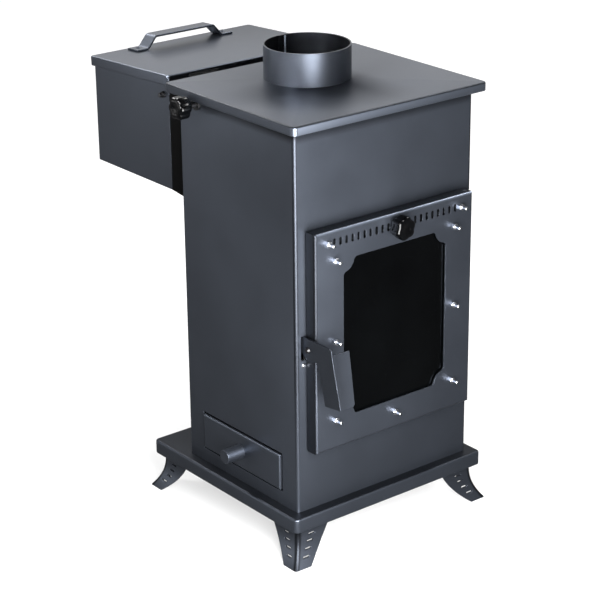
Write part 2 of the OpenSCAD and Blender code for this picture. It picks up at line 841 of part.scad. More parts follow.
module latch_bolt() {
    head = 3;
    inside = 9;
    at_origin() color(black) translate([latch_x - seat, latch_y, latch_z]) {
        drill_x(stud_r, latch_t + latch_gap + seat + sheet + inside);
        rotate([0, -90, 0]) cylinder(r1 = 4.5, r2 = 3, h = head);
    }
}

module latch_washer() {
    at_origin() color(zinc) translate([-door_half - latch_gap + seat, latch_y, latch_z]) difference() {
        drill_x(7, latch_gap - seat);
        translate([-e, 0, 0]) drill_x(stud_r + e, latch_gap + e);
    }
}

module latch_nut() {
    at_origin() color(zinc) translate([-door_half + sheet, latch_y, latch_z]) rotate([0, 90, 0])
        hex_nut(nut_af, nut_t, stud_r + e);
}

// Strike behind the casing front's latch slot, with its screw below

module latch_strike() {
    w = 14;
    at_origin() color(zinc) difference() {
        translate([strike_x - w / 2 + 3, sheet, strike_screw_z - 6])
            cube([w - 3, strike_t, latch_slot_h + 20]);
        translate([latch_x - 2.5, sheet - e, latch_slot_z])
            cube([latch_t + 5, strike_t + 2 * e, latch_slot_h]);
        translate([strike_x, sheet - e, strike_screw_z]) drill_y(strike_screw_r + e, strike_t + 2 * e);
    }
}

module strike_screw() {
    at_origin() color(zinc) translate([strike_x, 0, strike_screw_z]) {
        drill_y(strike_screw_r, sheet + strike_t + 3);
        rotate([90, 0, 0]) cylinder(r1 = 3.5, r2 = 2, h = 2);
    }
}

// Damper: a flap on a cross shaft below the flue, turned by the side knob

module damper_shaft() {
    out = damper_out + knob_hub_h + 10;
    at_origin() color(black) translate([-half_w - out, shaft_y, shaft_z])
        drill_x(shaft_r, casing_w + out - 0.5);
}

module damper_flap() {
    eye_r = shaft_r + flap_t;
    at_origin() color(painted) translate([-flap_half, shaft_y, shaft_z]) difference() {
        union() {
            drill_x(eye_r, 2 * flap_half);
            translate([0, -eye_r, -flap_l]) cube([2 * flap_half, flap_t, flap_l]);
        }
        translate([-e, 0, 0]) drill_x(shaft_r + e, 2 * flap_half + 2 * e);
    }
}

module damper_knob() {
    at_origin() color(black) translate([-half_w - damper_out, shaft_y, shaft_z]) rotate([0, -90, 0])
        rotate(15)
        lobe_knob(shaft_r + e, knob_hub_h + 10.2);
}

module shaft_washers() {
    at_origin() color(black) for (x = [-half_w - 3, -half_w + sheet]) translate([x, shaft_y, shaft_z])
        difference() {
        drill_x(8, 3);
        translate([-e, 0, 0]) drill_x(shaft_r + run, 3 + 2 * e);
    }
}

// Neck and hopper

module neck_side(g) {
    y0 = casing_d - (g > 0 ? e : 0);
    y1 = neck_y + (g > 0 ? e : 0);
    polygon([[y0, hopper_z - neck_floor + g], [y1, hopper_z + g], [y1, neck_top - g],
        [y0, neck_top - g]]);
}

module neck() {
    at_origin() color(black) difference() {
        rotate([90, 0, 90]) linear_extrude(hopper_w, center = true) neck_side(0);
        rotate([90, 0, 90]) linear_extrude(hopper_w - 2 * sheet, center = true) neck_side(sheet);
    }
}

// Height of the hopper's sloping rim above a place y
function rim_z(y) = lid_axis_z + seat_z / cos(lid_slope) - (y - lid_axis_y) * tan(lid_slope);

module hopper_side(g, over) {
    y0 = neck_y + g;
    y1 = neck_y + hopper_d - g;
    polygon([[y0, hopper_z + g], [y1, hopper_z + g], [y1, rim_z(y1) + over], [y0, rim_z(y0) + over]]);
}

module hopper_shell() {
    at_origin() color(painted) difference() {
        rotate([90, 0, 90]) linear_extrude(hopper_w, center = true) hopper_side(0, 0);
        rotate([90, 0, 90]) linear_extrude(hopper_w - 2 * sheet, center = true) hopper_side(sheet, e);
        translate([-throat_w / 2, neck_y - e, hopper_z + 2 * sheet])
            cube([throat_w, sheet + 2 * e, chute_h]);
        for (s = [-1, 1])
            translate([s > 0 ? hopper_w / 2 - sheet - e : -hopper_w / 2 - e, hopper_bolt_y,
            hopper_bolt_z])
            drill_x(hopper_bolt_r + e, sheet + 2 * e);
    }
}

module hopper_floor() {
    y0 = neck_y + sheet;
    y1 = neck_y + hopper_d - sheet;
    low = hopper_z + sheet;
    rise = hopper_h * 0.6;
    at_origin() color(painted) rotate([90, 0, 90]) linear_extrude(hopper_w - 2 * sheet, center = true)
        polygon([[y0, low], [y0 + 3, low], [y1, low + rise - 2], [y1, low + rise], [y0, low + 2]]);
}

module hopper_bolts() {
    out = 9;
    at_origin() color(black) for (s = [-1, 1])
        translate([s * hopper_w / 2, hopper_bolt_y, hopper_bolt_z]) rotate([0, s * 90, 0]) {
            translate([0, 0, -sheet - 5]) cylinder(r = hopper_bolt_r, h = sheet + 4 + out);
            translate([0, 0, out - 1 - e])
                cylinder(r1 = hopper_bolt_r, r2 = hopper_bolt_r - 1, h = 1 + e);
            hex_nut(nut_af, nut_t, hopper_bolt_r - e);
        }
}

// Lid, drawn in its own frame with the hinge axis at the origin, then set on its slope

module lid_frame() {
    at_origin() translate([0, lid_axis_y, lid_axis_z]) rotate([-lid_slope, 0, 0]) children();
}

module hopper_lid() {
    lid_frame() color(painted) translate([0, lid_front + lid_d / 2, lid_top - lid_rim])
        folded_tray(lid_w, lid_d, lid_rim, lid_t, lid_fold);
}

strap_t = 3;
strap_foot = 19;
strap_rise = 14;       // run of each sloping side
strap_back = 12;       // from the lid's back edge to the strap

module lid_strap() {
    h = strap_l / 2;
    f = h - strap_foot;
    g = f - strap_rise;
    y = lid_front + lid_d - strap_back;
    lid_frame() color(painted) translate([0, y, lid_top]) rotate([90, 0, 0]) linear_extrude(strap_w)
        polygon([
        [-h, 0], [-f, 0], [-g, strap_h - strap_t], [g, strap_h - strap_t], [f, 0], [h, 0],
        [h, strap_t], [f + strap_t * 0.5, strap_t], [g + strap_t * 0.5, strap_h],
        [-g - strap_t * 0.5, strap_h], [-f - strap_t * 0.5, strap_t], [-h, strap_t]]);
}

module lid_rivets() {
    y = lid_front + lid_d - strap_back - strap_w / 2;
    lid_frame() color(zinc) for (s = [-1, 1])
        translate([s * (strap_l / 2 - strap_foot / 2), y, lid_top + strap_t])
            cylinder(r1 = 3.5, r2 = 2, h = 1.6);
}

module lid_hinge_leaf() {
    leaf_t = 1.5;
    lid_frame() color(zinc) for (s = [-1, 1]) translate([s * lid_hinge_x, 0, 0]) difference() {
        union() {
            for (k = [-1, 1]) translate([k * lid_knuckle_l - lid_knuckle_l / 2, 0, 0])
                drill_x(knuckle_r, lid_knuckle_l - seat);
            translate([-1.5 * lid_knuckle_l, lid_front - leaf_t, 0])
                cube([lid_knuckle_l - seat, leaf_t, lid_top - 4]);
            translate([0.5 * lid_knuckle_l, lid_front - leaf_t, 0])
                cube([lid_knuckle_l - seat, leaf_t, lid_top - 4]);
            translate([-1.5 * lid_knuckle_l, lid_front - leaf_t, knuckle_r + 1])
                cube([3 * lid_knuckle_l - seat, leaf_t, lid_top - 9]);
        }
        translate([-2 * lid_knuckle_l, 0, 0]) drill_x(lid_pin_r + run, 4 * lid_knuckle_l);
    }
}

module lid_hinge_fixed() {
    leaf_t = 2;
    at_origin() color(zinc) for (s = [-1, 1]) translate([s * lid_hinge_x, lid_axis_y, lid_axis_z])
        difference() {
        union() {
            translate([-lid_knuckle_l / 2 + seat, 0, 0]) drill_x(knuckle_r, lid_knuckle_l - 3 * seat);
            translate([-lid_knuckle_l / 2 + seat, -knuckle_r, -knuckle_r - 1])
                cube([lid_knuckle_l - 3 * seat, knuckle_r, knuckle_r]);
            translate([-1.5 * lid_knuckle_l, -18, neck_top - lid_axis_z])
                cube([3 * lid_knuckle_l, 18, leaf_t - seat]);
        }
        translate([-2 * lid_knuckle_l, 0, 0]) drill_x(lid_pin_r + e, 4 * lid_knuckle_l);
    }
}

module lid_hinge_pins() {
    at_origin() color(zinc) for (s = [-1, 1])
        translate([s * lid_hinge_x - 1.5 * lid_knuckle_l, lid_axis_y, lid_axis_z])
        drill_x(lid_pin_r, 3 * lid_knuckle_l - seat);
}

casing();
rear_panel();
top_plate();
flue_collar();
base_plate();
leg_front_left();
leg_front_right();
leg_rear_left();
leg_rear_right();
ledge_strips();
smoke_baffle();
pot_shelf();
feed_chute();
drawer_rails();
door_rope();
hinge_lugs();
hinge_pins();
hinge_washer();
latch_strike();
strike_screw();
shaft_washers();
neck();
hopper_shell();
hopper_floor();
hopper_bolts();
lid_hinge_fixed();
lid_hinge_pins();
door_pan();
door_glass();
glass_gasket();
glass_frame();
glass_studs();
glass_nuts();
slide_studs();
slide_nuts();
latch_bolt();
latch_washer();
latch_nut();
air_slide();
air_slide_nut();
air_knob();
air_knob_stud();
latch_handle();
drawer_tray();
drawer_front();
drawer_knob();
drawer_screw();
hopper_lid();
lid_strap();
lid_rivets();
lid_hinge_leaf();
damper_shaft();
damper_flap();
damper_knob();
burn_pot();
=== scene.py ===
"""Looks of the mini pellet stove: finishes, rounded pieces, fasteners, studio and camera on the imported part."""

import json
import math

import bmesh
import bpy
from mathutils import Matrix, Vector


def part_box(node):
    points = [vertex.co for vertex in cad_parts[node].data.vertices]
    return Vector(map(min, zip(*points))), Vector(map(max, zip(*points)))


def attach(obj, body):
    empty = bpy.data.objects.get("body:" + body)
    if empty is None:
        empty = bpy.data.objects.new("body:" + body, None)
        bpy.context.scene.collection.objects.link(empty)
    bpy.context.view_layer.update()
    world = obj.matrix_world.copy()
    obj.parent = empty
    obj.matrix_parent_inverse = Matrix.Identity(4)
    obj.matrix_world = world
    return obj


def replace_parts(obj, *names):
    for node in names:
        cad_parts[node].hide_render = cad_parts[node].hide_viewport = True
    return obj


bl_info = {
    "name": "Mini pellet stove looks",
    "version": (1, 0, 0),
    "blender": (4, 5, 0),
    "location": "View3D > Sidebar > Pellet stove",
    "description": "Finishes, fittings and studio for a small sheet-steel pellet stove",
    "category": "Object",
}

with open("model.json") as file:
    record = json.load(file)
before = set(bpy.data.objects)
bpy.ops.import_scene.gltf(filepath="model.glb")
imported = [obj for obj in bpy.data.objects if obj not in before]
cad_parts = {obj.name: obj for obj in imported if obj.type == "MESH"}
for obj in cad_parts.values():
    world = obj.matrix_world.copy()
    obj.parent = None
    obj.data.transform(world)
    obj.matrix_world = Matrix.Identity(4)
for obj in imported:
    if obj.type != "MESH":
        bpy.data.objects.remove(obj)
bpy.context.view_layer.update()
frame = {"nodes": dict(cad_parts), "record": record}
NODES = frame["nodes"]


def middle(node):
    low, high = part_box(node)
    return (low + high) / 2


def size_of(node):
    low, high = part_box(node)
    return high - low


# Values a user would change


class EnamelSettings(bpy.types.PropertyGroup):
    colour: bpy.props.FloatVectorProperty(
        name="Enamel colour", description="Base colour of the anthracite stove paint",
        subtype="COLOR", size=3, min=0, max=1, default=(0.0545, 0.0620, 0.0775))
    flake: bpy.props.FloatProperty(
        name="Metallic share", description="How metallic the paint's flakes look",
        subtype="FACTOR", min=0, max=1, default=0.92)
    roughness: bpy.props.FloatProperty(
        name="Roughness", description="Roughness of the satin paint",
        subtype="FACTOR", min=0.05, max=1, default=0.40)
    edge_radius: bpy.props.FloatProperty(
        name="Edge radius", description="Radius at which cut sheet edges catch the light",
        subtype="DISTANCE", unit="LENGTH", min=0.0002, max=0.003, default=0.0007)


class FittingSettings(bpy.types.PropertyGroup):
    thread_pitch: bpy.props.FloatProperty(
        name="Thread pitch", description="Pitch of the thread on the stud ends",
        subtype="DISTANCE", unit="LENGTH", min=0.0005, max=0.002, default=0.0008)
    nut_chamfer: bpy.props.FloatProperty(
        name="Nut chamfer", description="Height of the chamfer on each nut's corners",
        subtype="DISTANCE", unit="LENGTH", min=0.0002, max=0.0015, default=0.0008)
    knob_lobes: bpy.props.IntProperty(
        name="Knob lobes", description="Number of lobes of each clamping knob", min=5, max=8, default=6)
    zinc: bpy.props.FloatVectorProperty(
        name="Zinc colour", description="Colour of the zinc-plated fasteners",
        subtype="COLOR", size=3, min=0, max=1, default=(0.52, 0.53, 0.56))


class SheetSettings(bpy.types.PropertyGroup):
    plate: bpy.props.FloatProperty(
        name="Plate", description="Thickness of the top plate", subtype="DISTANCE", unit="LENGTH",
        min=0.002, max=0.004, default=0.003)
    corner: bpy.props.FloatProperty(
        name="Rim corner", description="Radius of the rim corners in plan", subtype="DISTANCE", unit="LENGTH",
        min=0.002, max=0.012, default=0.007)
    flare: bpy.props.FloatProperty(
        name="Leg flare", description="How far each leg's foot stands out", subtype="DISTANCE", unit="LENGTH",
        min=0.008, max=0.02, default=0.0157)
    foot: bpy.props.FloatProperty(
        name="Leg foot", description="Width of each leg arm at the floor", subtype="DISTANCE", unit="LENGTH",
        min=0.02, max=0.038, default=0.0265)
    leg_fold: bpy.props.FloatProperty(
        name="Leg fold", description="Outside radius of each leg's fold", subtype="DISTANCE", unit="LENGTH",
        min=0.003, max=0.008, default=0.0045)
    strap_bend: bpy.props.FloatProperty(
        name="Strap bend", description="Radius of the lid strap's bends", subtype="DISTANCE", unit="LENGTH",
        min=0.002, max=0.012, default=0.006)


class StudioSettings(bpy.types.PropertyGroup):
    lens: bpy.props.FloatProperty(
        name="Lens", description="Focal length on a 36 mm wide sensor, in millimetres",
        min=50, max=300, default=120.41)
    camera_place: bpy.props.FloatVectorProperty(
        name="Camera place", description="Camera position in the part's frame",
        subtype="TRANSLATION", size=3, default=(-1.60505, -2.05438, 1.31143))
    yaw: bpy.props.FloatProperty(
        name="Yaw", description="Turn of the view direction from +Y towards +X",
        subtype="ANGLE", default=math.radians(38.36))
    pitch: bpy.props.FloatProperty(
        name="Pitch", description="How far the view looks down", subtype="ANGLE", default=math.radians(21.61))
    roll: bpy.props.FloatProperty(
        name="Roll", description="Turn of the camera about its view direction",
        subtype="ANGLE", default=math.radians(-0.62))
    overhead: bpy.props.FloatProperty(
        name="Top lights", description="Power of each of the two high soft boxes in watts",
        min=0, max=400, default=26)
    key: bpy.props.FloatProperty(
        name="Key light", description="Power of the tall soft box beside the camera in watts",
        min=0, max=400, default=36.5)
    fill: bpy.props.FloatProperty(
        name="Fill light", description="Power of the far soft box behind the drawer's side in watts",
        min=0, max=400, default=24)
    collar: bpy.props.FloatProperty(
        name="Collar light", description="Power of the narrow box on the flue collar in watts",
        min=0, max=100, default=0.52)
    back: bpy.props.FloatProperty(
        name="Back light", description="Power of the wide soft box behind the stove in watts",
        min=0, max=400, default=4.4)
    sky: bpy.props.FloatProperty(
        name="Sky", description="Brightness of the surround above the floor", min=0, max=4, default=0.2)
    ground: bpy.props.FloatProperty(
        name="Ground", description="Brightness that the floor shows in reflections", min=0, max=4, default=0.22)
    floor_glow: bpy.props.FloatProperty(
        name="Floor glow", description="How far the floor under the stove is lifted towards white",
        min=0, max=2, default=0.6)


# Node helpers


class Tree:
    """Short forms for building a material's node tree."""

    def __init__(self, name):
        self.mat = bpy.data.materials.new(name)
        self.mat.use_nodes = True
        self.nodes = self.mat.node_tree.nodes
        self.links = self.mat.node_tree.links
        self.nodes.clear()
        self.out = self.add("ShaderNodeOutputMaterial")
        self.shader = self.add("ShaderNodeBsdfPrincipled")
        self.links.new(self.shader.outputs["BSDF"], self.out.inputs["Surface"])
        self.coords = self.add("ShaderNodeTexCoord").outputs["Object"]

    def add(self, kind, **values):
        made = self.nodes.new(kind)
        for key, value in values.items():
            setattr(made, key, value)
        return made

    def plug(self, socket, value):
        """Links a socket, or sets its number or its colour."""
        if isinstance(value, bpy.types.NodeSocket):
            self.links.new(value, socket)
        elif value is not None:
            socket.default_value = (*value, 1) if isinstance(value, tuple) and len(value) == 3 else value

    def set(self, **values):
        for key, value in values.items():
            self.plug(self.shader.inputs[key.replace("_", " ")], value)

    def axis(self, name):
        split = self.add("ShaderNodeSeparateXYZ")
        self.links.new(self.coords, split.inputs[0])
        return split.outputs[name]

    def axes(self):
        return [self.axis(name) for name in "XYZ"]

    def noise(self, scale, detail=2.0, rough=0.5):
        made = self.add("ShaderNodeTexNoise")
        for name, number in (("Scale", scale), ("Detail", detail), ("Roughness", rough)):
            made.inputs[name].default_value = number
        self.links.new(self.coords, made.inputs["Vector"])
        return made.outputs["Fac"]

    def span(self, value, low, high, new_low, new_high):
        """Maps low..high onto new_low..new_high and holds it outside."""
        made = self.add("ShaderNodeMapRange")
        for name, number in (("From Min", low), ("From Max", high), ("To Min", new_low), ("To Max", new_high)):
            made.inputs[name].default_value = number
        self.links.new(value, made.inputs["Value"])
        return made.outputs["Result"]

    def maths(self, kind, *values):
        made = self.add("ShaderNodeMath", operation=kind)
        for socket, value in zip(made.inputs, values):
            self.plug(socket, value)
        return made.outputs["Value"]

    def times(self, first, *others):
        for other in others:
            first = self.maths("MULTIPLY", first, other)
        return first

    def most(self, first, *others):
        for other in others:
            first = self.maths("MAXIMUM", first, other)
        return first

    def above(self, value, limit):
        return self.maths("GREATER_THAN", value, limit)

    def below(self, value, limit):
        return self.maths("LESS_THAN", value, limit)

    def off(self, axis, place):
        """Distance along an axis from a place."""
        return self.maths("ABSOLUTE", self.maths("SUBTRACT", axis, place))

    def away(self, place):
        """Distance from an upright line through a place."""
        dx, dy = (self.off(self.axis(name), offset) for name, offset in zip("XY", place))
        return self.maths("SQRT", self.maths("ADD", self.times(dx, dx), self.times(dy, dy)))

    def mix(self, share, a, b):
        made = self.add("ShaderNodeMix", data_type="RGBA")
        for socket, value in ((made.inputs["Factor"], share), (made.inputs[6], a), (made.inputs[7], b)):
            self.plug(socket, value)
        return made.outputs[2]

    def bump(self, height, distance, strength=1.0, normal=None):
        made = self.add("ShaderNodeBump")
        for name, value in (("Distance", distance), ("Strength", strength), ("Height", height), ("Normal", normal)):
            self.plug(made.inputs[name], value)
        return made.outputs["Normal"]

    def soft_edges(self, radius):
        made = self.add("ShaderNodeBevel", samples=4)
        made.inputs["Radius"].default_value = radius
        return made.outputs["Normal"]

    def edge_mask(self, soft):
        """About 1 on edges that stand out, 0 on flat faces."""
        place = self.add("ShaderNodeNewGeometry")
        dot = self.add("ShaderNodeVectorMath", operation="DOT_PRODUCT")
        self.links.new(soft, dot.inputs[0])
        self.links.new(place.outputs["Normal"], dot.inputs[1])
        return self.span(dot.outputs["Value"], 0.97, 0.80, 0.0, 1.0)


# Finishes. Masks run from 0, bare paint, to 1, and their places are measured from the pieces' own boxes.

# Near-black that darkened places are mixed towards: mostly painted shade, in a few finishes a darker random tone.
SHADE_AND_TONE_BLACK = (0.0004, 0.0004, 0.0005)
MIDDLE_BAND = (0.3, 0.7)


def scaled(colour, factor):
    return tuple(min(1, c * factor) for c in colour)


def stove_enamel(values, name="stove_enamel", radius=None, shade=None):
    """Satin anthracite stove paint: fine flakes, faint orange peel, lighter along cut edges, partly as wear and
    partly as a painted highlight.

    shade returns a mask of the darkened places, mostly painted shade, and a mask of the painted highlights, or None
    for it.
    """
    t = Tree(name)
    soft = t.soft_edges(radius or values.edge_radius)
    edge = t.edge_mask(soft)
    flakes, clouds, peel = t.noise(5200, 1.0), t.noise(9.0, 4.0, 0.6), t.noise(620, 2.0, 0.55)
    paint = t.mix(t.span(clouds, *MIDDLE_BAND, 0, 1), scaled(values.colour, 0.93), scaled(values.colour, 1.07))
    paint = t.mix(t.span(flakes, 0.60, 0.74, 0, 0.5), paint, scaled(values.colour, 2.5))
    # Cut edges are lightened, partly as wear and partly as a painted highlight.
    scuffs_and_sheen = t.span(t.noise(140, 3), 0.35, 0.65, 0.25, 0.9)
    paint = t.mix(t.times(edge, scuffs_and_sheen), paint, scaled(values.colour, 2.6))
    if shade:
        # Darkened places are mostly painted shade; lightened places are painted highlights.
        darkened, painted_light = shade(t)
        if painted_light is not None:
            paint = t.mix(painted_light, paint, scaled(values.colour, 3.5))
        paint = t.mix(darkened, paint, SHADE_AND_TONE_BLACK)
    rough = t.maths("ADD", t.span(clouds, *MIDDLE_BAND, -0.02, 0.02), values.roughness)
    t.set(Base_Color=paint, Roughness=rough, Metallic=values.flake, Normal=t.bump(peel, 0.00006, 0.35, soft))
    return t.mat


def door_enamel(values):
    """The door's paint: painted shade in the air slots, on the latch-side and top returns and over the left fold,
    and a painted highlight along the top fold.
    """
    low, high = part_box("door_pan")
    slots, half = middle("air_slide").z, size_of("air_slide").z / 2
    face, sheet, beside = low.y + 0.00004, low.y + 0.0021, low.x + 0.006

    def shade(t):
        x, y, z = t.axes()
        walls = t.times(t.above(y, face), t.below(y, sheet), t.below(t.off(z, slots), half), t.above(x, beside))
        left = t.span(x, low.x + 0.0004, low.x + 0.0018, 0.72, 0)
        left_fold = t.times(t.span(x, low.x + 0.0025, low.x + 0.0045, 1, 0),
                            t.span(z, low.z + 0.03, low.z + 0.16, 0.1, 0.84))
        top = t.times(t.span(z, high.z - 0.003, high.z - 0.0005, 0, 0.55),
                      t.span(y, low.y + 0.002, low.y + 0.004, 0, 1))
        top_fold = t.times(t.span(z, high.z - 0.0034, high.z - 0.0014, 0, 0.7),
                           t.span(y, low.y + 0.0012, low.y + 0.003, 1, 0))
        return t.most(walls, left, left_fold, top), top_fold

    return stove_enamel(values, "door_enamel", 0.00025, shade)


def casing_enamel(values):
    """The casing's paint with painted shade on the folded corners, a painted shadow under the top plate's rim, and
    painted shade on the side near the fold.
    """
    low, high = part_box("casing")
    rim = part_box("top_plate")[0].z
    flat = 0.0035

    def shade(t):
        x, y, z = t.axes()
        corners = t.most(t.span(x, low.x + flat, low.x + 0.005, 1, 0),
                         t.span(x, high.x - 0.005, high.x - flat, 0, 1))
        tall = t.maths("MINIMUM", t.span(z, low.z, low.z + 0.2, 0, 0.76),
                       t.span(z, rim - 0.18, rim - 0.05, 0.76, 0.66))
        folds = t.times(t.below(y, low.y + 0.0045), corners, tall)
        under = t.span(z, rim - 0.017, rim - 0.0085, 0, 0.55)
        beside = t.times(t.below(x, low.x + flat), t.span(y, low.y, low.y + 0.17, 0.32, 0),
                         t.span(z, rim - 0.3, rim - 0.08, 0, 1))
        return t.most(folds, t.maths("ADD", under, beside)), None

    return stove_enamel(values, "casing_enamel", None, shade)


def plate_enamel(values):
    """The top plate's paint: painted shade on the left rim, along the top fold and in front of the flue collar,
    where the reflection is dimmed as well, and painted light on the front rim.
    """
    low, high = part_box("top_plate")
    flue, flue_radius = middle("flue_collar"), size_of("flue_collar").x / 2
    corner = bpy.context.scene.stove_sheets.corner
    skin, bend = 0.0014, 0.0034

    def shade(t):
        x, y, z = t.axes()
        front = t.times(t.above(x, low.x + corner), t.span(x, low.x, high.x, 1.1, 0.4),
                        t.span(y, low.y + 0.0004, low.y + skin, 1, 0))
        light = t.times(front, t.span(z, low.z, high.z - 0.004, 0.22, 0.6),
                        t.span(z, high.z - 0.0024, high.z - skin, 1, 0))
        left = t.times(t.above(y, low.y + corner), t.span(x, low.x + 0.0004, low.x + skin, 0.34, 0))
        rim = t.most(*(t.span(axis, start + 0.0018, start + bend, 1, 0) for axis, start in ((y, low.y), (x, low.x))))
        edge = t.times(rim, t.span(z, high.z - 0.0024, high.z - 0.0012, 0, 0.72))
        # Painted shade in front of the flue collar, where the reflection is dimmed too.
        collar_shade = t.times(t.span(t.away(flue), flue_radius, flue_radius + 0.11, 0.74, 0),
                      t.span(y, flue.y - 0.05, flue.y + 0.02, 1, 0.3),
                      t.span(x, flue.x + 0.02, flue.x + 0.07, 1, 0.2))
        t.set(Specular_Tint=t.mix(collar_shade, (1, 1, 1), (0.12, 0.12, 0.13)))
        return t.most(left, edge, collar_shade), light

    return stove_enamel(values, "plate_enamel", None, shade)


def base_enamel(values):
    """The base plate's paint, with painted shade on top."""
    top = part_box("base_plate")[1].z
    return stove_enamel(values, "base_enamel", None,
                        lambda t: (t.span(t.axis("Z"), top - 0.0012, top - 0.0002, 0, 0.68), None))


def slide_enamel(values):
    """The air slide's paint, darkened nearly to black all over as painted shade behind the slots."""
    return stove_enamel(values, "slide_enamel", 0.0003,
                        lambda t: (t.span(t.noise(60, 2), 0.2, 0.8, 0.9, 0.98), None))


def collar_enamel(values):
    """The flue collar's paint, somewhat darker outside, with painted shade inside."""
    flue, radius = middle("flue_collar"), size_of("flue_collar").x / 2

    def shade(t):
        inside_shade = t.span(t.away(flue), radius - 0.0016, radius - 0.0012, 0.9, 0)
        return t.most(inside_shade, t.span(t.noise(40, 2), *MIDDLE_BAND, 0.3, 0.4)), None

    return stove_enamel(values, "collar_enamel", 0.0004, shade)


def latch_enamel(values):
    """The latch handle's paint, with painted shade all over, darkest where it turns in beside the door."""
    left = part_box("latch_handle")[0].x
    return stove_enamel(values, "latch_enamel", None,
                        lambda t: (t.span(t.axis("X"), left + 0.006, left + 0.03, 0.52, 0.18), None))


def leg_enamel(values):
    """The legs' paint, with painted shade along each flared fold that tones down its highlight."""
    flare = bpy.context.scene.stove_sheets.flare
    half = middle("base_plate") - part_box("leg_front_left")[0] - Vector((flare, flare, 0))

    def shade(t):
        drop = t.most(t.maths("SUBTRACT", 1, t.maths("DIVIDE", t.axis("Z"), leg_bend())), 0)
        reach = [t.maths("SUBTRACT", t.off(t.axis(name), centre), wide)
                 for name, centre, wide in zip("XY", middle("base_plate"), half)]
        near = t.maths("SUBTRACT", t.maths("MINIMUM", *reach), t.times(drop, drop, flare))
        return t.span(near, -0.0075, -0.0045, 0, 0.76), None

    return stove_enamel(values, "leg_enamel", None, shade)


def seam_enamel(values):
    """Paint of the weld bead inside the flue collar: darker in random patches, and lightened all over as a painted
    highlight.
    """
    return stove_enamel(values, "seam_enamel", None, lambda t: (t.span(t.noise(300, 2), 0.5, 0.8, 0, 0.5),
                                                                t.span(t.noise(90, 2), 0.3, 0.6, 0.7, 1)))


def lid_enamel(values):
    """The lid's paint, with painted shade on the skirt beside the flue collar."""
    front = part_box("hopper_lid")[0].y
    return stove_enamel(values, "lid_enamel", None,
                        lambda t: (t.span(t.axis("Y"), front + 0.0006, front + 0.0016, 0.9, 0), None))


def mottled(name, noise, colours, rough, band=MIDDLE_BAND, bump=None, **fixed):
    """Finish whose colour and roughness follow one noise; bump is a noise with its distance and strength."""
    t = Tree(name)
    cloud = t.noise(*noise)
    t.set(Base_Color=t.mix(t.span(cloud, *band, 0, 1), *colours),
          Roughness=t.span(cloud, *MIDDLE_BAND, *rough), **fixed)
    if bump:
        t.set(Normal=t.bump(t.noise(*bump[0]), *bump[1:]))
    return t


def sooty_zinc(values):
    """Zinc plate of the lid's hinge leaves, painted near-black as shade in the gap beside the lid."""
    return mottled("sooty_zinc", (60, 3), ((0.0008, 0.0008, 0.0009), (0.0022, 0.0022, 0.0025)), (0.5, 0.7),
                   Metallic=0.4).mat


def inner_steel(values):
    """Matt heat-proof paint inside the firebox, with a little soot."""
    return mottled("inner_steel", (28, 5, 0.65), ((0.0012, 0.0012, 0.0012), (0.003, 0.003, 0.0031)), (0.62, 0.8),
                   (0.35, 0.65), ((900, 3), 0.00008, 0.5), Specular_IOR_Level=0.12).mat


def matt_black(values):
    """Matt black paint of the neck."""
    return mottled("matt_black", (20, 3), ((0.0002, 0.0002, 0.00025), (0.0005, 0.0005, 0.0006)), (0.55, 0.68),
                   bump=((800, 2), 0.00006, 0.4), Specular_IOR_Level=0.06).mat


def zinc_plate(values):
    """Bright zinc plate with a fine turned grain."""
    t = Tree("zinc_plate")
    grain, cloud = t.noise(2600, 2), t.noise(300, 2)
    t.set(Base_Color=t.mix(t.span(cloud, *MIDDLE_BAND, 0, 1), scaled(values.zinc, 0.86), tuple(values.zinc)),
          Roughness=t.span(grain, *MIDDLE_BAND, 0.20, 0.34), Metallic=1.0,
          Normal=t.bump(grain, 0.00003, 0.4, t.soft_edges(0.0003)))
    return t.mat


def black_oxide(values):
    """Black bolts with a semi-gloss."""
    t = mottled("black_oxide", (1500, 2), ((0.0022, 0.0022, 0.0026), (0.006, 0.006, 0.0068)), (0.28, 0.4),
                Metallic=0.5)
    t.set(Normal=t.soft_edges(0.0004))
    return t.mat


def moulded_black(values):
    """Glossy black thermoset of the clamping knobs."""
    return mottled("moulded_black", (160, 3), ((0.0003, 0.00033, 0.0004), (0.0006, 0.00065, 0.0008)), (0.12, 0.18),
                   bump=((240, 1), 0.00005, 0.25), Specular_IOR_Level=0.16).mat


def fire_glass(values):
    """Ceramic glass, near-black and almost opaque as painted shade for the dark firebox behind it, with a faint haze
    of smoke.
    """
    return mottled("fire_glass", (7, 4, 0.55), ((0.0002, 0.00024, 0.0003), (0.0005, 0.0006, 0.0007)), (0.04, 0.08),
                   (0.35, 0.7), Alpha=0.94, Specular_IOR_Level=0.1).mat


def seal_rope(values):
    """Graphite-coated glass-fibre rope, plaited."""
    t = Tree("seal_rope")
    weave = t.add("ShaderNodeTexWave", wave_type="BANDS", bands_direction="DIAGONAL")
    for name, value in (("Scale", 130), ("Distortion", 1.5), ("Vector", t.coords)):
        t.plug(weave.inputs[name], value)
    plait = weave.outputs["Fac"]
    t.set(Base_Color=t.mix(plait, (0.0025, 0.0025, 0.0024), (0.009, 0.0088, 0.0082)), Roughness=0.9,
          Normal=t.bump(plait, 0.0006, 0.8))
    return t.mat


def pot_iron(values):
    """Rough cast iron."""
    grain = (420, 5, 0.7)
    return mottled("pot_iron", grain, ((0.0035, 0.0033, 0.0031), (0.010, 0.0094, 0.0088)), (0.55, 0.8),
                   bump=(grain, 0.0003, 0.7), Metallic=0.6).mat


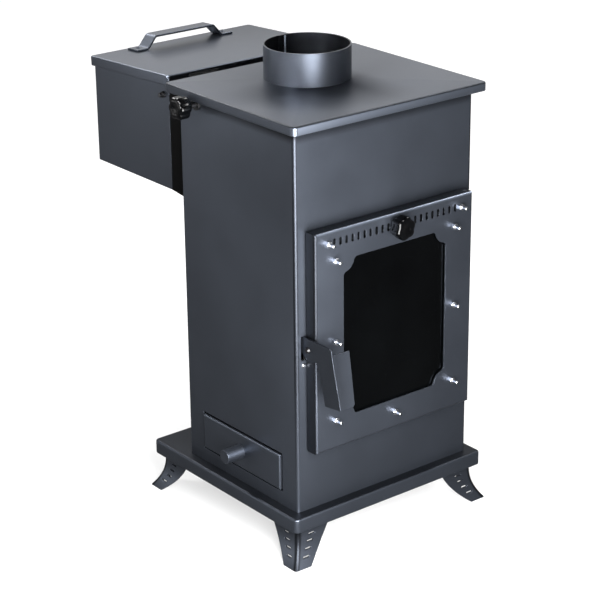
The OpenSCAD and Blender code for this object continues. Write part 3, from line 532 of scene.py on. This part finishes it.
FINISHES = {
    "dark_enamel": stove_enamel, "inner_steel": inner_steel, "matt_black": matt_black, "zinc_steel": zinc_plate,
    "black_bolt": black_oxide, "black_plastic": moulded_black, "stove_glass": fire_glass, "seal_rope": seal_rope,
    "pot_iron": pot_iron,
}
OWN_FINISHES = {
    "casing": casing_enamel, "top_plate": plate_enamel, "door_pan": door_enamel, "air_slide": slide_enamel,
    "base_plate": base_enamel, "hopper_lid": lid_enamel, "lid_hinge_leaf": sooty_zinc, "flue_collar": collar_enamel,
    "flue_collar_seam": seam_enamel, "latch_handle": latch_enamel, "leg_front_left": leg_enamel,
}
MADE = {}


class STOVE_OT_finishes(bpy.types.Operator):
    """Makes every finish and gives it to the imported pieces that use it"""

    bl_idname = "stove.finishes"
    bl_label = "Finishes"

    def execute(self, context):
        scene = context.scene
        for slot, make in FINISHES.items():
            MADE[slot] = make(scene.stove_fittings if slot == "zinc_steel" else scene.stove_enamel)
        for node, make in OWN_FINISHES.items():
            MADE[node] = make(scene.stove_enamel)
        for part in frame["record"]["subparts"]:
            node = part["node"]
            for material_slot in NODES[node].material_slots:
                material_slot.material = MADE[node if node in OWN_FINISHES else part["material_slot"]]
        return {"FINISHED"}


# Mesh helpers. Lengths are in metres, and the angles from which edges are sharp in degrees.


def object_from(name, data):
    made = bpy.data.objects.new(name, data)
    bpy.context.scene.collection.objects.link(made)
    return made


def mesh_from(name, bm):
    mesh = bpy.data.meshes.new(name)
    bm.to_mesh(mesh)
    bm.free()
    return mesh


def closed_mesh(name, bm):
    """Turns a bmesh into a mesh, welded and with its faces outwards."""
    bmesh.ops.remove_doubles(bm, verts=bm.verts, dist=1e-6)
    bmesh.ops.recalc_face_normals(bm, faces=bm.faces)
    return mesh_from(name, bm)


def smooth(mesh, limit):
    """Smooth shading, with edges sharp from a limit in degrees."""
    mesh.shade_smooth()
    mesh.set_sharp_from_angle(angle=math.radians(limit))
    return mesh


def after_modifiers(holder):
    """The mesh that a holder's modifiers make; they are then removed."""
    bpy.context.view_layer.update()
    mesh = bpy.data.meshes.new_from_object(holder.evaluated_get(bpy.context.evaluated_depsgraph_get()))
    holder.modifiers.clear()
    return mesh


def adopt(name, mesh, slot, body, sharp_from=None, finish=None):
    """Makes a mesh a piece that rides on a body, in its slot's finish or in a node's own."""
    made = object_from(name, mesh)
    mesh.materials.clear()
    mesh.materials.append(MADE[finish or slot])
    if sharp_from:
        smooth(mesh, sharp_from)
    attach(made, body)
    return made


def piece_from(name, bm, slot, body, sharp_from, finish=None):
    """Turns a bmesh in the part's frame into a piece that rides on a body."""
    return adopt(name, closed_mesh(name, bm), slot, body, sharp_from, finish)


def angles(count):
    return [2 * math.pi * i / count for i in range(count)]


def arc(centre, radius, start, end, steps):
    """Points of an arc between two angles in degrees, with both ends."""
    turns = (math.radians(start + (end - start) * i / steps) for i in range(steps + 1))
    return [(centre[0] + radius * math.cos(a), centre[1] + radius * math.sin(a)) for a in turns]


def ring(bm, points, place=Matrix.Identity(4)):
    return [bm.verts.new(place @ Vector(point)) for point in points]


def join_rings(bm, rings):
    for low, high in zip(rings, rings[1:]):
        for corners in zip(low, low[1:] + low[:1], high[1:] + high[:1], high):
            bm.faces.new(corners)


def loft(bm, rings):
    """Skins a row of rings and closes both ends."""
    join_rings(bm, rings)
    bm.faces.new(rings[0])
    bm.faces.new(rings[-1])


def fan(bm, rim, tip):
    """Closes a ring with triangles that meet at a tip."""
    for a, b in zip(rim, rim[1:] + rim[:1]):
        bm.faces.new((a, b, tip))


def axis_frame(place, direction):
    """Matrix that sets local +Z along a direction at a place."""
    return Matrix.Translation(place) @ Vector(direction).to_track_quat("Z", "Y").to_matrix().to_4x4()


# Fasteners by Geometry Nodes: a nut and a threaded stud end on each point

NUT_SHARP, STUD_SHARP = 25, 40
STUD_EASE = 0.00002  # between a stud end and the bore of its nut


def socket_id(tree, name):
    return next(item.identifier for item in tree.interface.items_tree
                if getattr(item, "in_out", "") == "INPUT" and item.name == name)


def fastener_tree(nut_object, stud_object, material):
    """Tree that sets a nut, turned by chance, and a stud end on each point."""
    tree = bpy.data.node_groups.new("nuts_on_studs", "GeometryNodeTree")
    face = tree.interface
    face.new_socket("Geometry", in_out="INPUT", socket_type="NodeSocketGeometry")
    for name, kind, value in (("Nut scale", "Float", 1.0), ("Turn spread", "Float", 1.0), ("Seed", "Int", 3)):
        face.new_socket(name, in_out="INPUT", socket_type="NodeSocket" + kind).default_value = value
    face.new_socket("Geometry", in_out="OUTPUT", socket_type="NodeSocketGeometry")
    add, link = tree.nodes.new, tree.links.new
    start, end = add("NodeGroupInput"), add("NodeGroupOutput")
    turn, spread = add("FunctionNodeRandomValue"), add("ShaderNodeMath")
    turn.data_type, spread.operation = "FLOAT", "MULTIPLY"
    link(start.outputs["Seed"], turn.inputs["Seed"])
    link(turn.outputs[1], spread.inputs[0])
    link(start.outputs["Turn spread"], spread.inputs[1])
    joined = add("GeometryNodeJoinGeometry")
    for source in (nut_object, stud_object):
        info, put = add("GeometryNodeObjectInfo"), add("GeometryNodeInstanceOnPoints")
        info.inputs["Object"].default_value = source
        link(start.outputs["Geometry"], put.inputs["Points"])
        link(info.outputs["Geometry"], put.inputs["Instance"])
        if source == nut_object:
            angle = add("ShaderNodeCombineXYZ")
            link(spread.outputs[0], angle.inputs["Y"])
            link(angle.outputs[0], put.inputs["Rotation"])
            link(start.outputs["Nut scale"], put.inputs["Scale"])
        link(put.outputs["Instances"], joined.inputs["Geometry"])
    real, paint = add("GeometryNodeRealizeInstances"), add("GeometryNodeSetMaterial")
    paint.inputs["Material"].default_value = material
    link(joined.outputs[0], real.inputs["Geometry"])
    link(real.outputs[0], paint.inputs["Geometry"])
    link(paint.outputs[0], end.inputs[0])
    return tree


def solid_parts(node):
    """Boxes of a node's separate solids, always in one order: from left to right, then from the bottom up."""
    bm = bmesh.new()
    bm.from_mesh(NODES[node].data)
    bmesh.ops.remove_doubles(bm, verts=bm.verts, dist=1e-5)
    left, boxes = set(bm.verts), []
    while left:
        stack, seen = [left.pop()], []
        while stack:
            v = stack.pop()
            seen.append(v.co.copy())
            near = {edge.other_vert(v) for edge in v.link_edges} & left
            left -= near
            stack += near
        boxes.append((Vector(map(min, *seen)), Vector(map(max, *seen))))
    bm.free()
    return sorted(boxes, key=lambda box: (round(box[0].x, 4), box[0].z))


def hex_nut_mesh(across, thick, bore, chamfer):
    """Chamfered hexagon nut with its seat at y=0 and its outer face towards -Y."""
    flat, corner, ease, lead = across / 2, across / math.sqrt(3), 0.0002, 0.0005
    bevel, twelfth = chamfer * 0.6, math.pi / 6
    bm = bmesh.new()
    rings = []
    for height, limit in ((0, flat + ease), (bevel, corner), (thick - bevel, corner), (thick, flat - ease),
                          (thick, bore + 2 * ease), (thick - lead, bore), (0, bore)):
        reach = [(a, min(limit, flat / math.cos((a + twelfth) % (2 * twelfth) - twelfth))) for a in angles(48)]
        rings.append(ring(bm, [(r * math.cos(a), -height, r * math.sin(a)) for a, r in reach]))
    join_rings(bm, rings + rings[:1])
    return smooth(closed_mesh("nut_form", bm), NUT_SHARP)


def stud_mesh(radius, length, pitch):
    """Threaded stud end that stands out to -Y from y=0."""
    root, tip = radius * 0.88, 0.0008
    groove = (root, 0.1), (radius, 0.45), (radius, 0.55), (root, 0.9)
    outline = [(root, 0)]
    for i in range(int((length - tip) / pitch)):
        outline += [(r, (i + share) * pitch) for r, share in groove]
    outline += [(radius * 0.9, length - tip), (radius * 0.72, length - tip / 8), (radius * 0.60, length)]
    bm, to_frame = bmesh.new(), axis_frame((0, 0, 0), (0, -1, 0))
    rings = [ring(bm, [(r * math.cos(a), r * math.sin(a), h) for a in angles(24)], to_frame) for r, h in outline]
    join_rings(bm, rings)
    for rim, h in ((rings[0], 0), (rings[-1], length)):
        fan(bm, rim, bm.verts.new(to_frame @ Vector((0, 0, h))))
    return smooth(closed_mesh("stud_form", bm), STUD_SHARP)


class STOVE_OT_door_nuts(bpy.types.Operator):
    """Chamfered nuts and threaded stud ends round the door, set out by Geometry Nodes"""

    bl_idname = "stove.door_nuts"
    bl_label = "Door nuts and studs"

    def execute(self, context):
        values = context.scene.stove_fittings
        radius = size_of("air_knob_stud").x / 2
        for nuts, studs, name, seed in (("glass_nuts", "glass_studs", "window", 5),
                                        ("slide_nuts", "slide_studs", "air", 9)):
            boxes = solid_parts(nuts)
            low, high = boxes[0]
            seat, across = high.y, min(high.x - low.x, high.z - low.z)
            nut = hex_nut_mesh(across, seat - low.y, radius, values.nut_chamfer)
            stud = stud_mesh(radius - STUD_EASE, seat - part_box(studs)[0].y, values.thread_pitch)
            forms = object_from("nut_form", nut), object_from("stud_form", stud)
            points = bpy.data.meshes.new("fastener_places")
            points.from_pydata([((low.x + high.x) / 2, seat, (low.z + high.z) / 2) for low, high in boxes], [], [])
            holder = object_from("fastener_places", points)
            modifier = holder.modifiers.new("fasteners", "NODES")
            modifier.node_group = tree = fastener_tree(*forms, MADE["zinc_steel"])
            for socket, value in (("Nut scale", 1.0), ("Turn spread", math.pi / 3), ("Seed", seed)):
                modifier[socket_id(tree, socket)] = value
            made = adopt(name + "_fasteners", after_modifiers(holder), "zinc_steel", "door")
            for spare in (holder, *forms):
                bpy.data.objects.remove(spare)
            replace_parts(made, nuts)
        return {"FINISHED"}


# Clamping knobs

KNOB_ACROSS, KNOB_HEAD, KNOB_HOLLOW, KNOB_SHARP = 0.032, 0.018, 0.0022, 60
HUB_HEIGHT, HUB_RADIUS, BORE_DEPTH = 0.004, 0.009, 0.013


def knob_bmesh(place, direction, turn, lobes, bore):
    """Lobed clamping knob: hub at the place, head outwards, hollows between the lobes, a dished end."""
    bm = bmesh.new()
    to_frame = axis_frame(place, direction) @ Matrix.Rotation(turn, 4, "Z")
    tip, hollow, top = KNOB_ACROSS / 2, KNOB_ACROSS / 2 - KNOB_HOLLOW, HUB_HEIGHT + KNOB_HEAD
    rings = []
    for r_lobe, r_hollow, height in (
            (bore, bore, BORE_DEPTH), (bore, bore, 0),
            (HUB_RADIUS - 0.0006, HUB_RADIUS - 0.0006, 0), (HUB_RADIUS, HUB_RADIUS, 0.0006),
            (HUB_RADIUS, HUB_RADIUS, HUB_HEIGHT - 0.0002), (HUB_RADIUS + 0.0006, HUB_RADIUS + 0.0004, HUB_HEIGHT),
            (tip - 0.0032, hollow - 0.0022, HUB_HEIGHT), (tip - 0.0014, hollow - 0.0010, HUB_HEIGHT + 0.0007),
            (tip - 0.0003, hollow - 0.0002, HUB_HEIGHT + 0.0022), (tip, hollow, HUB_HEIGHT + 0.0045),
            (tip, hollow, top - 0.0050), (tip - 0.0004, hollow - 0.0003, top - 0.0026),
            (tip - 0.0018, hollow - 0.0014, top - 0.0009), (tip - 0.0040, hollow - 0.0034, top - 0.0001),
            (0.0085, 0.0072, top), (0.0062, 0.0056, top - 0.0006), (0.0052, 0.0048, top - 0.0012)):
        reach = [(a, r_hollow + (r_lobe - r_hollow) * (0.5 + 0.5 * math.cos(lobes * a)) ** 0.8)
                 for a in angles(lobes * 16)]
        rings.append(ring(bm, [(r * math.cos(a), r * math.sin(a), height) for a, r in reach], to_frame))
    join_rings(bm, rings)
    for rim, height in ((rings[0], BORE_DEPTH + 0.0002), (rings[-1], top - 0.0014)):
        fan(bm, rim, bm.verts.new(to_frame @ Vector((0, 0, height))))
    return bm


class STOVE_OT_knobs(bpy.types.Operator):
    """Rounded glossy clamping knobs of the air slide and the damper"""

    bl_idname = "stove.knobs"
    bl_label = "Clamping knobs"

    def execute(self, context):
        lobes = context.scene.stove_fittings.knob_lobes
        stud, shaft = middle("air_knob_stud"), middle("damper_shaft")
        stud.y, shaft.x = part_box("air_knob")[1].y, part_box("damper_knob")[1].x
        for node, body, place, direction, turn, bore in (("air_knob", "air_knob", stud, (0, -1, 0), 0.3, 0.0031),
                                                         ("damper_knob", "damper", shaft, (-1, 0, 0), 0.1, 0.0041)):
            bm = knob_bmesh(place, direction, turn, lobes, bore)
            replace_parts(piece_from(node + "_moulded", bm, "black_plastic", body, KNOB_SHARP), node)
        return {"FINISHED"}


# Sheet pieces with rounded corners and folds

BASE_SHEET, LID_SHEET, COLLAR_SHEET, LEG_SHEET, STRAP_BAR = 0.0025, 0.002, 0.002, 0.0025, 0.003
PLATE_FOLD, BASE_FOLD, LID_FOLD, LID_CORNER = 0.0024, 0.003, 0.0024, 0.005
LID_SLOPE = math.radians(3)
LID_EASE = 0.0001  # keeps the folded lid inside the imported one's back edge
CUT_EDGE = 0.0005  # chamfer of a cut sheet edge
FOLDS_SHARP = 30
LEG_STRAIGHT = 0.007  # of the legs, below the base plate's rim
SLOTS, FIRST_SLOT, SLOT_PITCH = 4, 0.23, 0.177  # the last two as shares of the legs' free height
STRAP_FOOT, STRAP_RISE = 0.019, 0.014


def pan_bmesh(low, high, thick, corner, fold, place=Matrix.Identity(4), hole=None):
    """Plate with a rim turned down: rounded in plan, folded along the top, with an optional round hole."""
    bm = bmesh.new()
    inner = max(fold - thick, 0.0006)

    def outline(inset, z):
        r = max(corner - inset, 0.0005)
        left, front, right, back = low.x + inset + r, low.y + inset + r, high.x - inset - r, high.y - inset - r
        points = []
        for start, centre in ((0, (right, back)), (90, (left, back)), (180, (left, front)), (270, (right, front))):
            points += arc(centre, r, start, start + 90, 8)
        return ring(bm, [(x, y, z) for x, y in points], place)

    def circle(like, z):
        centre, radius = hole
        return ring(bm, [(*(centre + (v.co.xy - centre).normalized() * radius), z) for v in like])

    over = [outline(CUT_EDGE, low.z), outline(0, low.z + CUT_EDGE)]
    over += [outline(fold - x, high.z - fold + z) for x, z in arc((0, 0), fold, 0, 90, 7)]
    under = [outline(thick + inner - x, high.z - thick - inner + z) for x, z in arc((0, 0), inner, 90, 0, 4)]
    under += [outline(thick, low.z + CUT_EDGE), outline(thick - CUT_EDGE, low.z)]
    if hole:
        over += [circle(over[-1], high.z), circle(over[-1], high.z - thick)]
        join_rings(bm, over + under + over[:1])
    else:
        loft(bm, under + over)
    return bm


def lid_place():
    return Matrix.Translation(middle("lid_hinge_pins")) @ Matrix.Rotation(-LID_SLOPE, 4, "X")


def box_on_lid(node):
    """A node's box in the lid's own sloping frame, from its vertices."""
    back = lid_place().inverted()
    places = [back @ v.co for v in NODES[node].data.vertices]
    return Vector(map(min, *places)), Vector(map(max, *places))


class STOVE_OT_plates(bpy.types.Operator):
    """Top plate, base plate and hopper lid with rounded rim corners"""

    bl_idname = "stove.plates"
    bl_label = "Plates and lid"

    def execute(self, context):
        values = context.scene.stove_sheets
        hole = (middle("flue_collar").xy, size_of("flue_collar").x / 2 - COLLAR_SHEET)
        low, high = box_on_lid("hopper_lid")
        high.y -= LID_EASE
        top = pan_bmesh(*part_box("top_plate"), values.plate, values.corner, PLATE_FOLD, hole=hole)
        base = pan_bmesh(*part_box("base_plate"), BASE_SHEET, values.corner, BASE_FOLD)
        lid = pan_bmesh(low, high, LID_SHEET, LID_CORNER, LID_FOLD, lid_place())
        for node, body, bm in (("top_plate", "stove", top), ("base_plate", "stove", base),
                               ("hopper_lid", "lid", lid)):
            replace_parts(piece_from(node + "_folded", bm, "dark_enamel", body, FOLDS_SHARP, node), node)
        return {"FINISHED"}


def leg_bend():
    """Height at which the legs begin to flare."""
    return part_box("base_plate")[0].z - LEG_STRAIGHT


def leg_mesh(node, values):
    """Leg of two curved, slotted arms that meet in a rounded fold and flare outwards on the way down."""
    low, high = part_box(node)
    flare, fold, thick = values.flare, values.leg_fold, LEG_SHEET
    rim, bend, tall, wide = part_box("base_plate")[0].z, leg_bend(), high.z - low.z, high.x - low.x - flare
    bow = (bend * bend + flare * flare) / (2 * flare)
    right, rear = middle(node).x > middle("casing").x, middle(node).y > middle("casing").y
    heel = (high.x - flare if right else low.x + flare, high.y - flare if rear else low.y + flare, 0)
    place = Matrix.Translation(heel) @ Matrix.Diagonal((-1 if right else 1, -1 if rear else 1, 1, 1))

    def out(z):
        return 0 if z >= bend else bow - math.sqrt(bow * bow - (bend - z) ** 2)

    def arm(z):
        return values.foot + (wide - values.foot) * min(z, rim) / rim

    leg, cuts = bmesh.new(), bmesh.new()
    rings = []
    for z in [bend * i / 24 for i in range(25)] + [rim, tall]:
        near, far = -out(z), arm(z) - out(z)
        turn = (near + fold, near + fold)
        points = [(far, near), *arc(turn, fold, 270, 180, 7), (near, far),
                  (near + thick, far), *arc(turn, fold - thick, 180, 270, 7), (far, near + thick)]
        rings.append(ring(leg, [(x, y, z) for x, y in points], place))
    loft(leg, rings)

    half, r = wide / 10, rim / 40  # of each slot, one through either arm
    for z in (rim * (FIRST_SLOT + SLOT_PITCH * i) for i in range(SLOTS)):
        at = arm(z) / 2 - out(z)
        slot = arc((at + half - r, z), r, -90, 90, 8) + arc((at - half + r, z), r, 90, 270, 8)
        depths = (-flare - 0.002, thick + 0.004)
        loft(cuts, [ring(cuts, [(u, depth, w) for u, w in slot], place) for depth in depths])
        loft(cuts, [ring(cuts, [(depth, u, w) for u, w in slot], place) for depth in depths])
    return cut_away(leg, cuts)


def cut_away(bm, cuts):
    """Cuts one closed form out of another and returns the result as a mesh."""
    whole, tool = (object_from("cut_form", closed_mesh("cut_form", form)) for form in (bm, cuts))
    modifier = whole.modifiers.new("cut", "BOOLEAN")
    modifier.operation, modifier.solver, modifier.object = "DIFFERENCE", "EXACT", tool
    mesh = after_modifiers(whole)
    for holder in (whole, tool):
        bpy.data.objects.remove(holder)
    return mesh


class STOVE_OT_legs(bpy.types.Operator):
    """Four folded and slotted legs with a rounded fold"""

    bl_idname = "stove.legs"
    bl_label = "Legs"

    def execute(self, context):
        for node in ("leg_front_left", "leg_front_right", "leg_rear_left", "leg_rear_right"):
            mesh = leg_mesh(node, context.scene.stove_sheets)
            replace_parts(adopt(node + "_folded", mesh, "dark_enamel", "stove", FOLDS_SHARP, "leg_front_left"), node)
        return {"FINISHED"}


def rounded_line(points, radius, steps=6):
    """Points of a line with rounded corners, each with its direction."""
    points = [Vector(point) for point in points]
    ways = [(after - here).normalized() for here, after in zip(points, points[1:])]
    line = [(points[0], ways[0])]
    for here, a, b in zip(points[1:], ways, ways[1:]):
        turn = a.angle_signed(b)
        side = radius if turn < 0 else -radius
        centre = here - a * radius * math.tan(abs(turn) / 2) + Vector((-a.y, a.x)) * side
        for i in range(steps + 1):
            way = Matrix.Rotation(-turn * i / steps, 2) @ a
            line.append((centre - Vector((-way.y, way.x)) * side, way))
    return line + [(points[-1], ways[-1])]


class STOVE_OT_strap(bpy.types.Operator):
    """Lid strap bent from flat bar"""

    bl_idname = "stove.strap"
    bl_label = "Lid strap"

    def execute(self, context):
        low, high = box_on_lid("lid_strap")
        half, side = STRAP_BAR / 2, 0.7
        base, top = low.z + half, high.z - half
        line = rounded_line([(low.x, base), (low.x + STRAP_FOOT, base), (low.x + STRAP_FOOT + STRAP_RISE, top),
                             (high.x - STRAP_FOOT - STRAP_RISE, top), (high.x - STRAP_FOOT, base), (high.x, base)],
                            context.scene.stove_sheets.strap_bend)
        outline = [(-1, low.y + CUT_EDGE), (-side, low.y), (side, low.y), (1, low.y + CUT_EDGE),
                   (1, high.y - CUT_EDGE), (side, high.y), (-side, high.y), (-1, high.y - CUT_EDGE)]
        bm = bmesh.new()
        rings = []
        for here, way in line:
            off = Vector((-way.y, way.x)) * half
            rings.append(ring(bm, [(here.x + off.x * s, y, here.y + off.y * s) for s, y in outline], lid_place()))
        loft(bm, rings)
        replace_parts(piece_from("lid_strap_bent", bm, "dark_enamel", "lid", FOLDS_SHARP), "lid_strap")
        return {"FINISHED"}


# Weld bead: where it stands in the collar, and its radius

SEAM_ANGLE, SEAM_INSET, SEAM_END, SEAM_BEAD = math.radians(84), 0.0034, 0.0008, 0.0013
SEAM_STEPS, SEAM_SHARP = 60, 60


class STOVE_OT_seam(bpy.types.Operator):
    """Weld bead down the lap inside the flue collar"""

    bl_idname = "stove.seam"
    bl_label = "Collar seam"

    def execute(self, context):
        low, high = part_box("flue_collar")
        radius = size_of("flue_collar").x / 2 - SEAM_INSET
        at = middle("flue_collar") + radius * Vector((math.cos(SEAM_ANGLE), math.sin(SEAM_ANGLE), 0))
        bm = bmesh.new()
        rings = []
        for i in range(SEAM_STEPS + 1):
            bead = SEAM_BEAD * (0.85 + 0.15 * math.sin(i * 2.1)) * (0.35 if i in (0, SEAM_STEPS) else 1)
            z = low.z + SEAM_END + (high.z - low.z - 2 * SEAM_END) * i / SEAM_STEPS
            rings.append(ring(bm, [(at.x + bead * math.cos(a), at.y + bead * math.sin(a), z) for a in angles(12)]))
        loft(bm, rings)
        piece_from("collar_seam_weld", bm, "dark_enamel", "stove", SEAM_SHARP, "flue_collar_seam")
        return {"FINISHED"}


# Studio

WHITE = (1, 1, 1)
FLOOR_HALF, WALL_RADIUS, WALL_HEIGHT = 60, 40, 60
GLOW_NEAR, GLOW_FAR = 0.25, 0.75  # the floor turns white between these distances
SOFT_HORIZON = 0.12
COLLAR, NARROW = (0, -0.02, 0.65), 25  # target and spread of the two collar lights


def stage_piece(t, bm, **values):
    """Piece of the studio in its own finish, which a tree has begun."""
    t.set(**values)
    made = object_from(t.mat.name, mesh_from(t.mat.name, bm))
    made.data.materials.append(t.mat)
    return made


def soft_box(name, place, target, width, height, watts, spread=180):
    lamp = bpy.data.lights.new(name, "AREA")
    lamp.shape, lamp.size, lamp.size_y, lamp.energy = "RECTANGLE", width, height, watts
    lamp.spread = math.radians(spread)
    holder = object_from(name, lamp)
    holder.location = place
    holder.rotation_mode = "QUATERNION"
    holder.rotation_quaternion = (Vector(target) - Vector(place)).to_track_quat("-Z", "Y")
    holder.visible_camera = False


class STOVE_OT_studio(bpy.types.Operator):
    """White floor, soft boxes, surround and the camera"""

    bl_idname = "stove.studio"
    bl_label = "Studio and camera"

    def execute(self, context):
        scene, values = context.scene, context.scene.stove_studio
        camera = object_from("studio_camera", bpy.data.cameras.new("studio_camera"))
        camera.data.sensor_width, camera.data.lens = 36, values.lens
        camera.data.clip_start, camera.data.clip_end = 0.05, 200
        turn = Matrix.Rotation(-values.yaw, 4, "Z") @ Matrix.Rotation(math.pi / 2 - values.pitch, 4, "X")
        camera.matrix_world = Matrix.Translation(values.camera_place) @ turn @ Matrix.Rotation(values.roll, 4, "Z")
        scene.camera = camera

        bm, t = bmesh.new(), Tree("studio_floor")
        bmesh.ops.create_grid(bm, x_segments=1, y_segments=1, size=FLOOR_HALF)
        away = t.add("ShaderNodeVectorMath", operation="LENGTH")
        t.links.new(t.coords, away.inputs[0])
        # Less glow near the stove paints a soft shade on the floor round it.
        glow = t.span(away.outputs["Value"], GLOW_NEAR, GLOW_FAR, values.floor_glow, 0.95)
        floor = stage_piece(t, bm, Base_Color=(0.3, 0.3, 0.3), Roughness=0.8, Specular_IOR_Level=0.1,
                            Emission_Color=WHITE, Emission_Strength=glow)
        floor.visible_glossy = False

        bm = bmesh.new()
        bmesh.ops.create_cone(bm, segments=64, radius1=WALL_RADIUS, radius2=WALL_RADIUS, depth=WALL_HEIGHT)
        bmesh.ops.recalc_face_normals(bm, faces=bm.faces)
        bmesh.ops.reverse_faces(bm, faces=bm.faces)
        wall = stage_piece(Tree("studio_wall"), bm, Base_Color=(0, 0, 0), Specular_IOR_Level=0,
                           Emission_Color=WHITE, Emission_Strength=1)
        wall.visible_diffuse = wall.visible_glossy = wall.visible_transmission = wall.visible_shadow = False

        world = bpy.data.worlds.new("studio_surround")
        scene.world = world
        world.use_nodes = True
        sky = world.node_tree.nodes["Background"]
        sky.inputs["Color"].default_value = (*WHITE, 1)
        add, link = world.node_tree.nodes.new, world.node_tree.links.new
        direction, split, band = add("ShaderNodeTexCoord"), add("ShaderNodeSeparateXYZ"), add("ShaderNodeMapRange")
        band.interpolation_type = "SMOOTHSTEP"
        for name, number in (("From Min", -SOFT_HORIZON), ("From Max", SOFT_HORIZON), ("To Min", values.ground),
                             ("To Max", values.sky)):
            band.inputs[name].default_value = number
        link(direction.outputs["Generated"], split.inputs[0])
        link(split.outputs["Z"], band.inputs["Value"])
        link(band.outputs["Result"], sky.inputs["Strength"])

        soft_box("right_box", (1.10, -0.15, 1.90), (0, -0.1, 0.4), 0.6, 0.6, values.overhead)
        soft_box("rear_box", (-0.15, 1.30, 1.70), (0, 0, 0.5), 0.6, 0.6, values.overhead)
        soft_box("key_box", (-0.32, -0.65, 0.42), (0, -0.10, 0.50), 0.42, 0.6, values.key)
        soft_box("fill_box", (-2.9, 2.1, 0.5), (-0.12, 0.12, 0.40), 2.5, 1.5, values.fill)
        soft_box("collar_box", (-0.41, -0.67, 0.95), COLLAR, 0.42, 0.12, values.collar, NARROW)
        soft_box("collar_side_box", (-0.76, -0.16, 0.95), COLLAR, 0.36, 0.12, values.collar * 2.6, NARROW)
        soft_box("back_box", (0.55, 0.75, 1.15), (0, 0, 0.62), 1.2, 0.9, values.back)
        scene.view_settings.view_transform = "Standard"
        scene.view_settings.look = "None"
        return {"FINISHED"}


class STOVE_PT_panel(bpy.types.Panel):
    """Lists the steps that dress the stove"""

    bl_idname = "STOVE_PT_panel"
    bl_label = "Pellet stove"
    bl_space_type = "VIEW_3D"
    bl_region_type = "UI"
    bl_category = "Pellet stove"

    def draw(self, context):
        for step in STEPS:
            self.layout.operator(step.bl_idname)
        for name in GROUPS:
            group = getattr(context.scene, name)
            for value in group.bl_rna.properties:
                if value.identifier not in ("rna_type", "name"):
                    self.layout.prop(group, value.identifier)


STEPS = (STOVE_OT_studio, STOVE_OT_finishes, STOVE_OT_door_nuts, STOVE_OT_knobs, STOVE_OT_plates, STOVE_OT_legs,
         STOVE_OT_strap, STOVE_OT_seam)
GROUPS = {"stove_enamel": EnamelSettings, "stove_fittings": FittingSettings, "stove_sheets": SheetSettings,
          "stove_studio": StudioSettings}


def register():
    for group in GROUPS.values():
        bpy.utils.register_class(group)
    for step in (*STEPS, STOVE_PT_panel):
        bpy.utils.register_class(step)
    for name, group in GROUPS.items():
        setattr(bpy.types.Scene, name, bpy.props.PointerProperty(type=group))


def unregister():
    for name in GROUPS:
        delattr(bpy.types.Scene, name)
    for step in reversed((*STEPS, STOVE_PT_panel)):
        bpy.utils.unregister_class(step)
    for group in reversed(tuple(GROUPS.values())):
        bpy.utils.unregister_class(group)


def main():
    register()
    for step in STEPS:
        area, name = step.bl_idname.split(".")
        getattr(getattr(bpy.ops, area), name)()


if __name__ == "__main__":
    main()
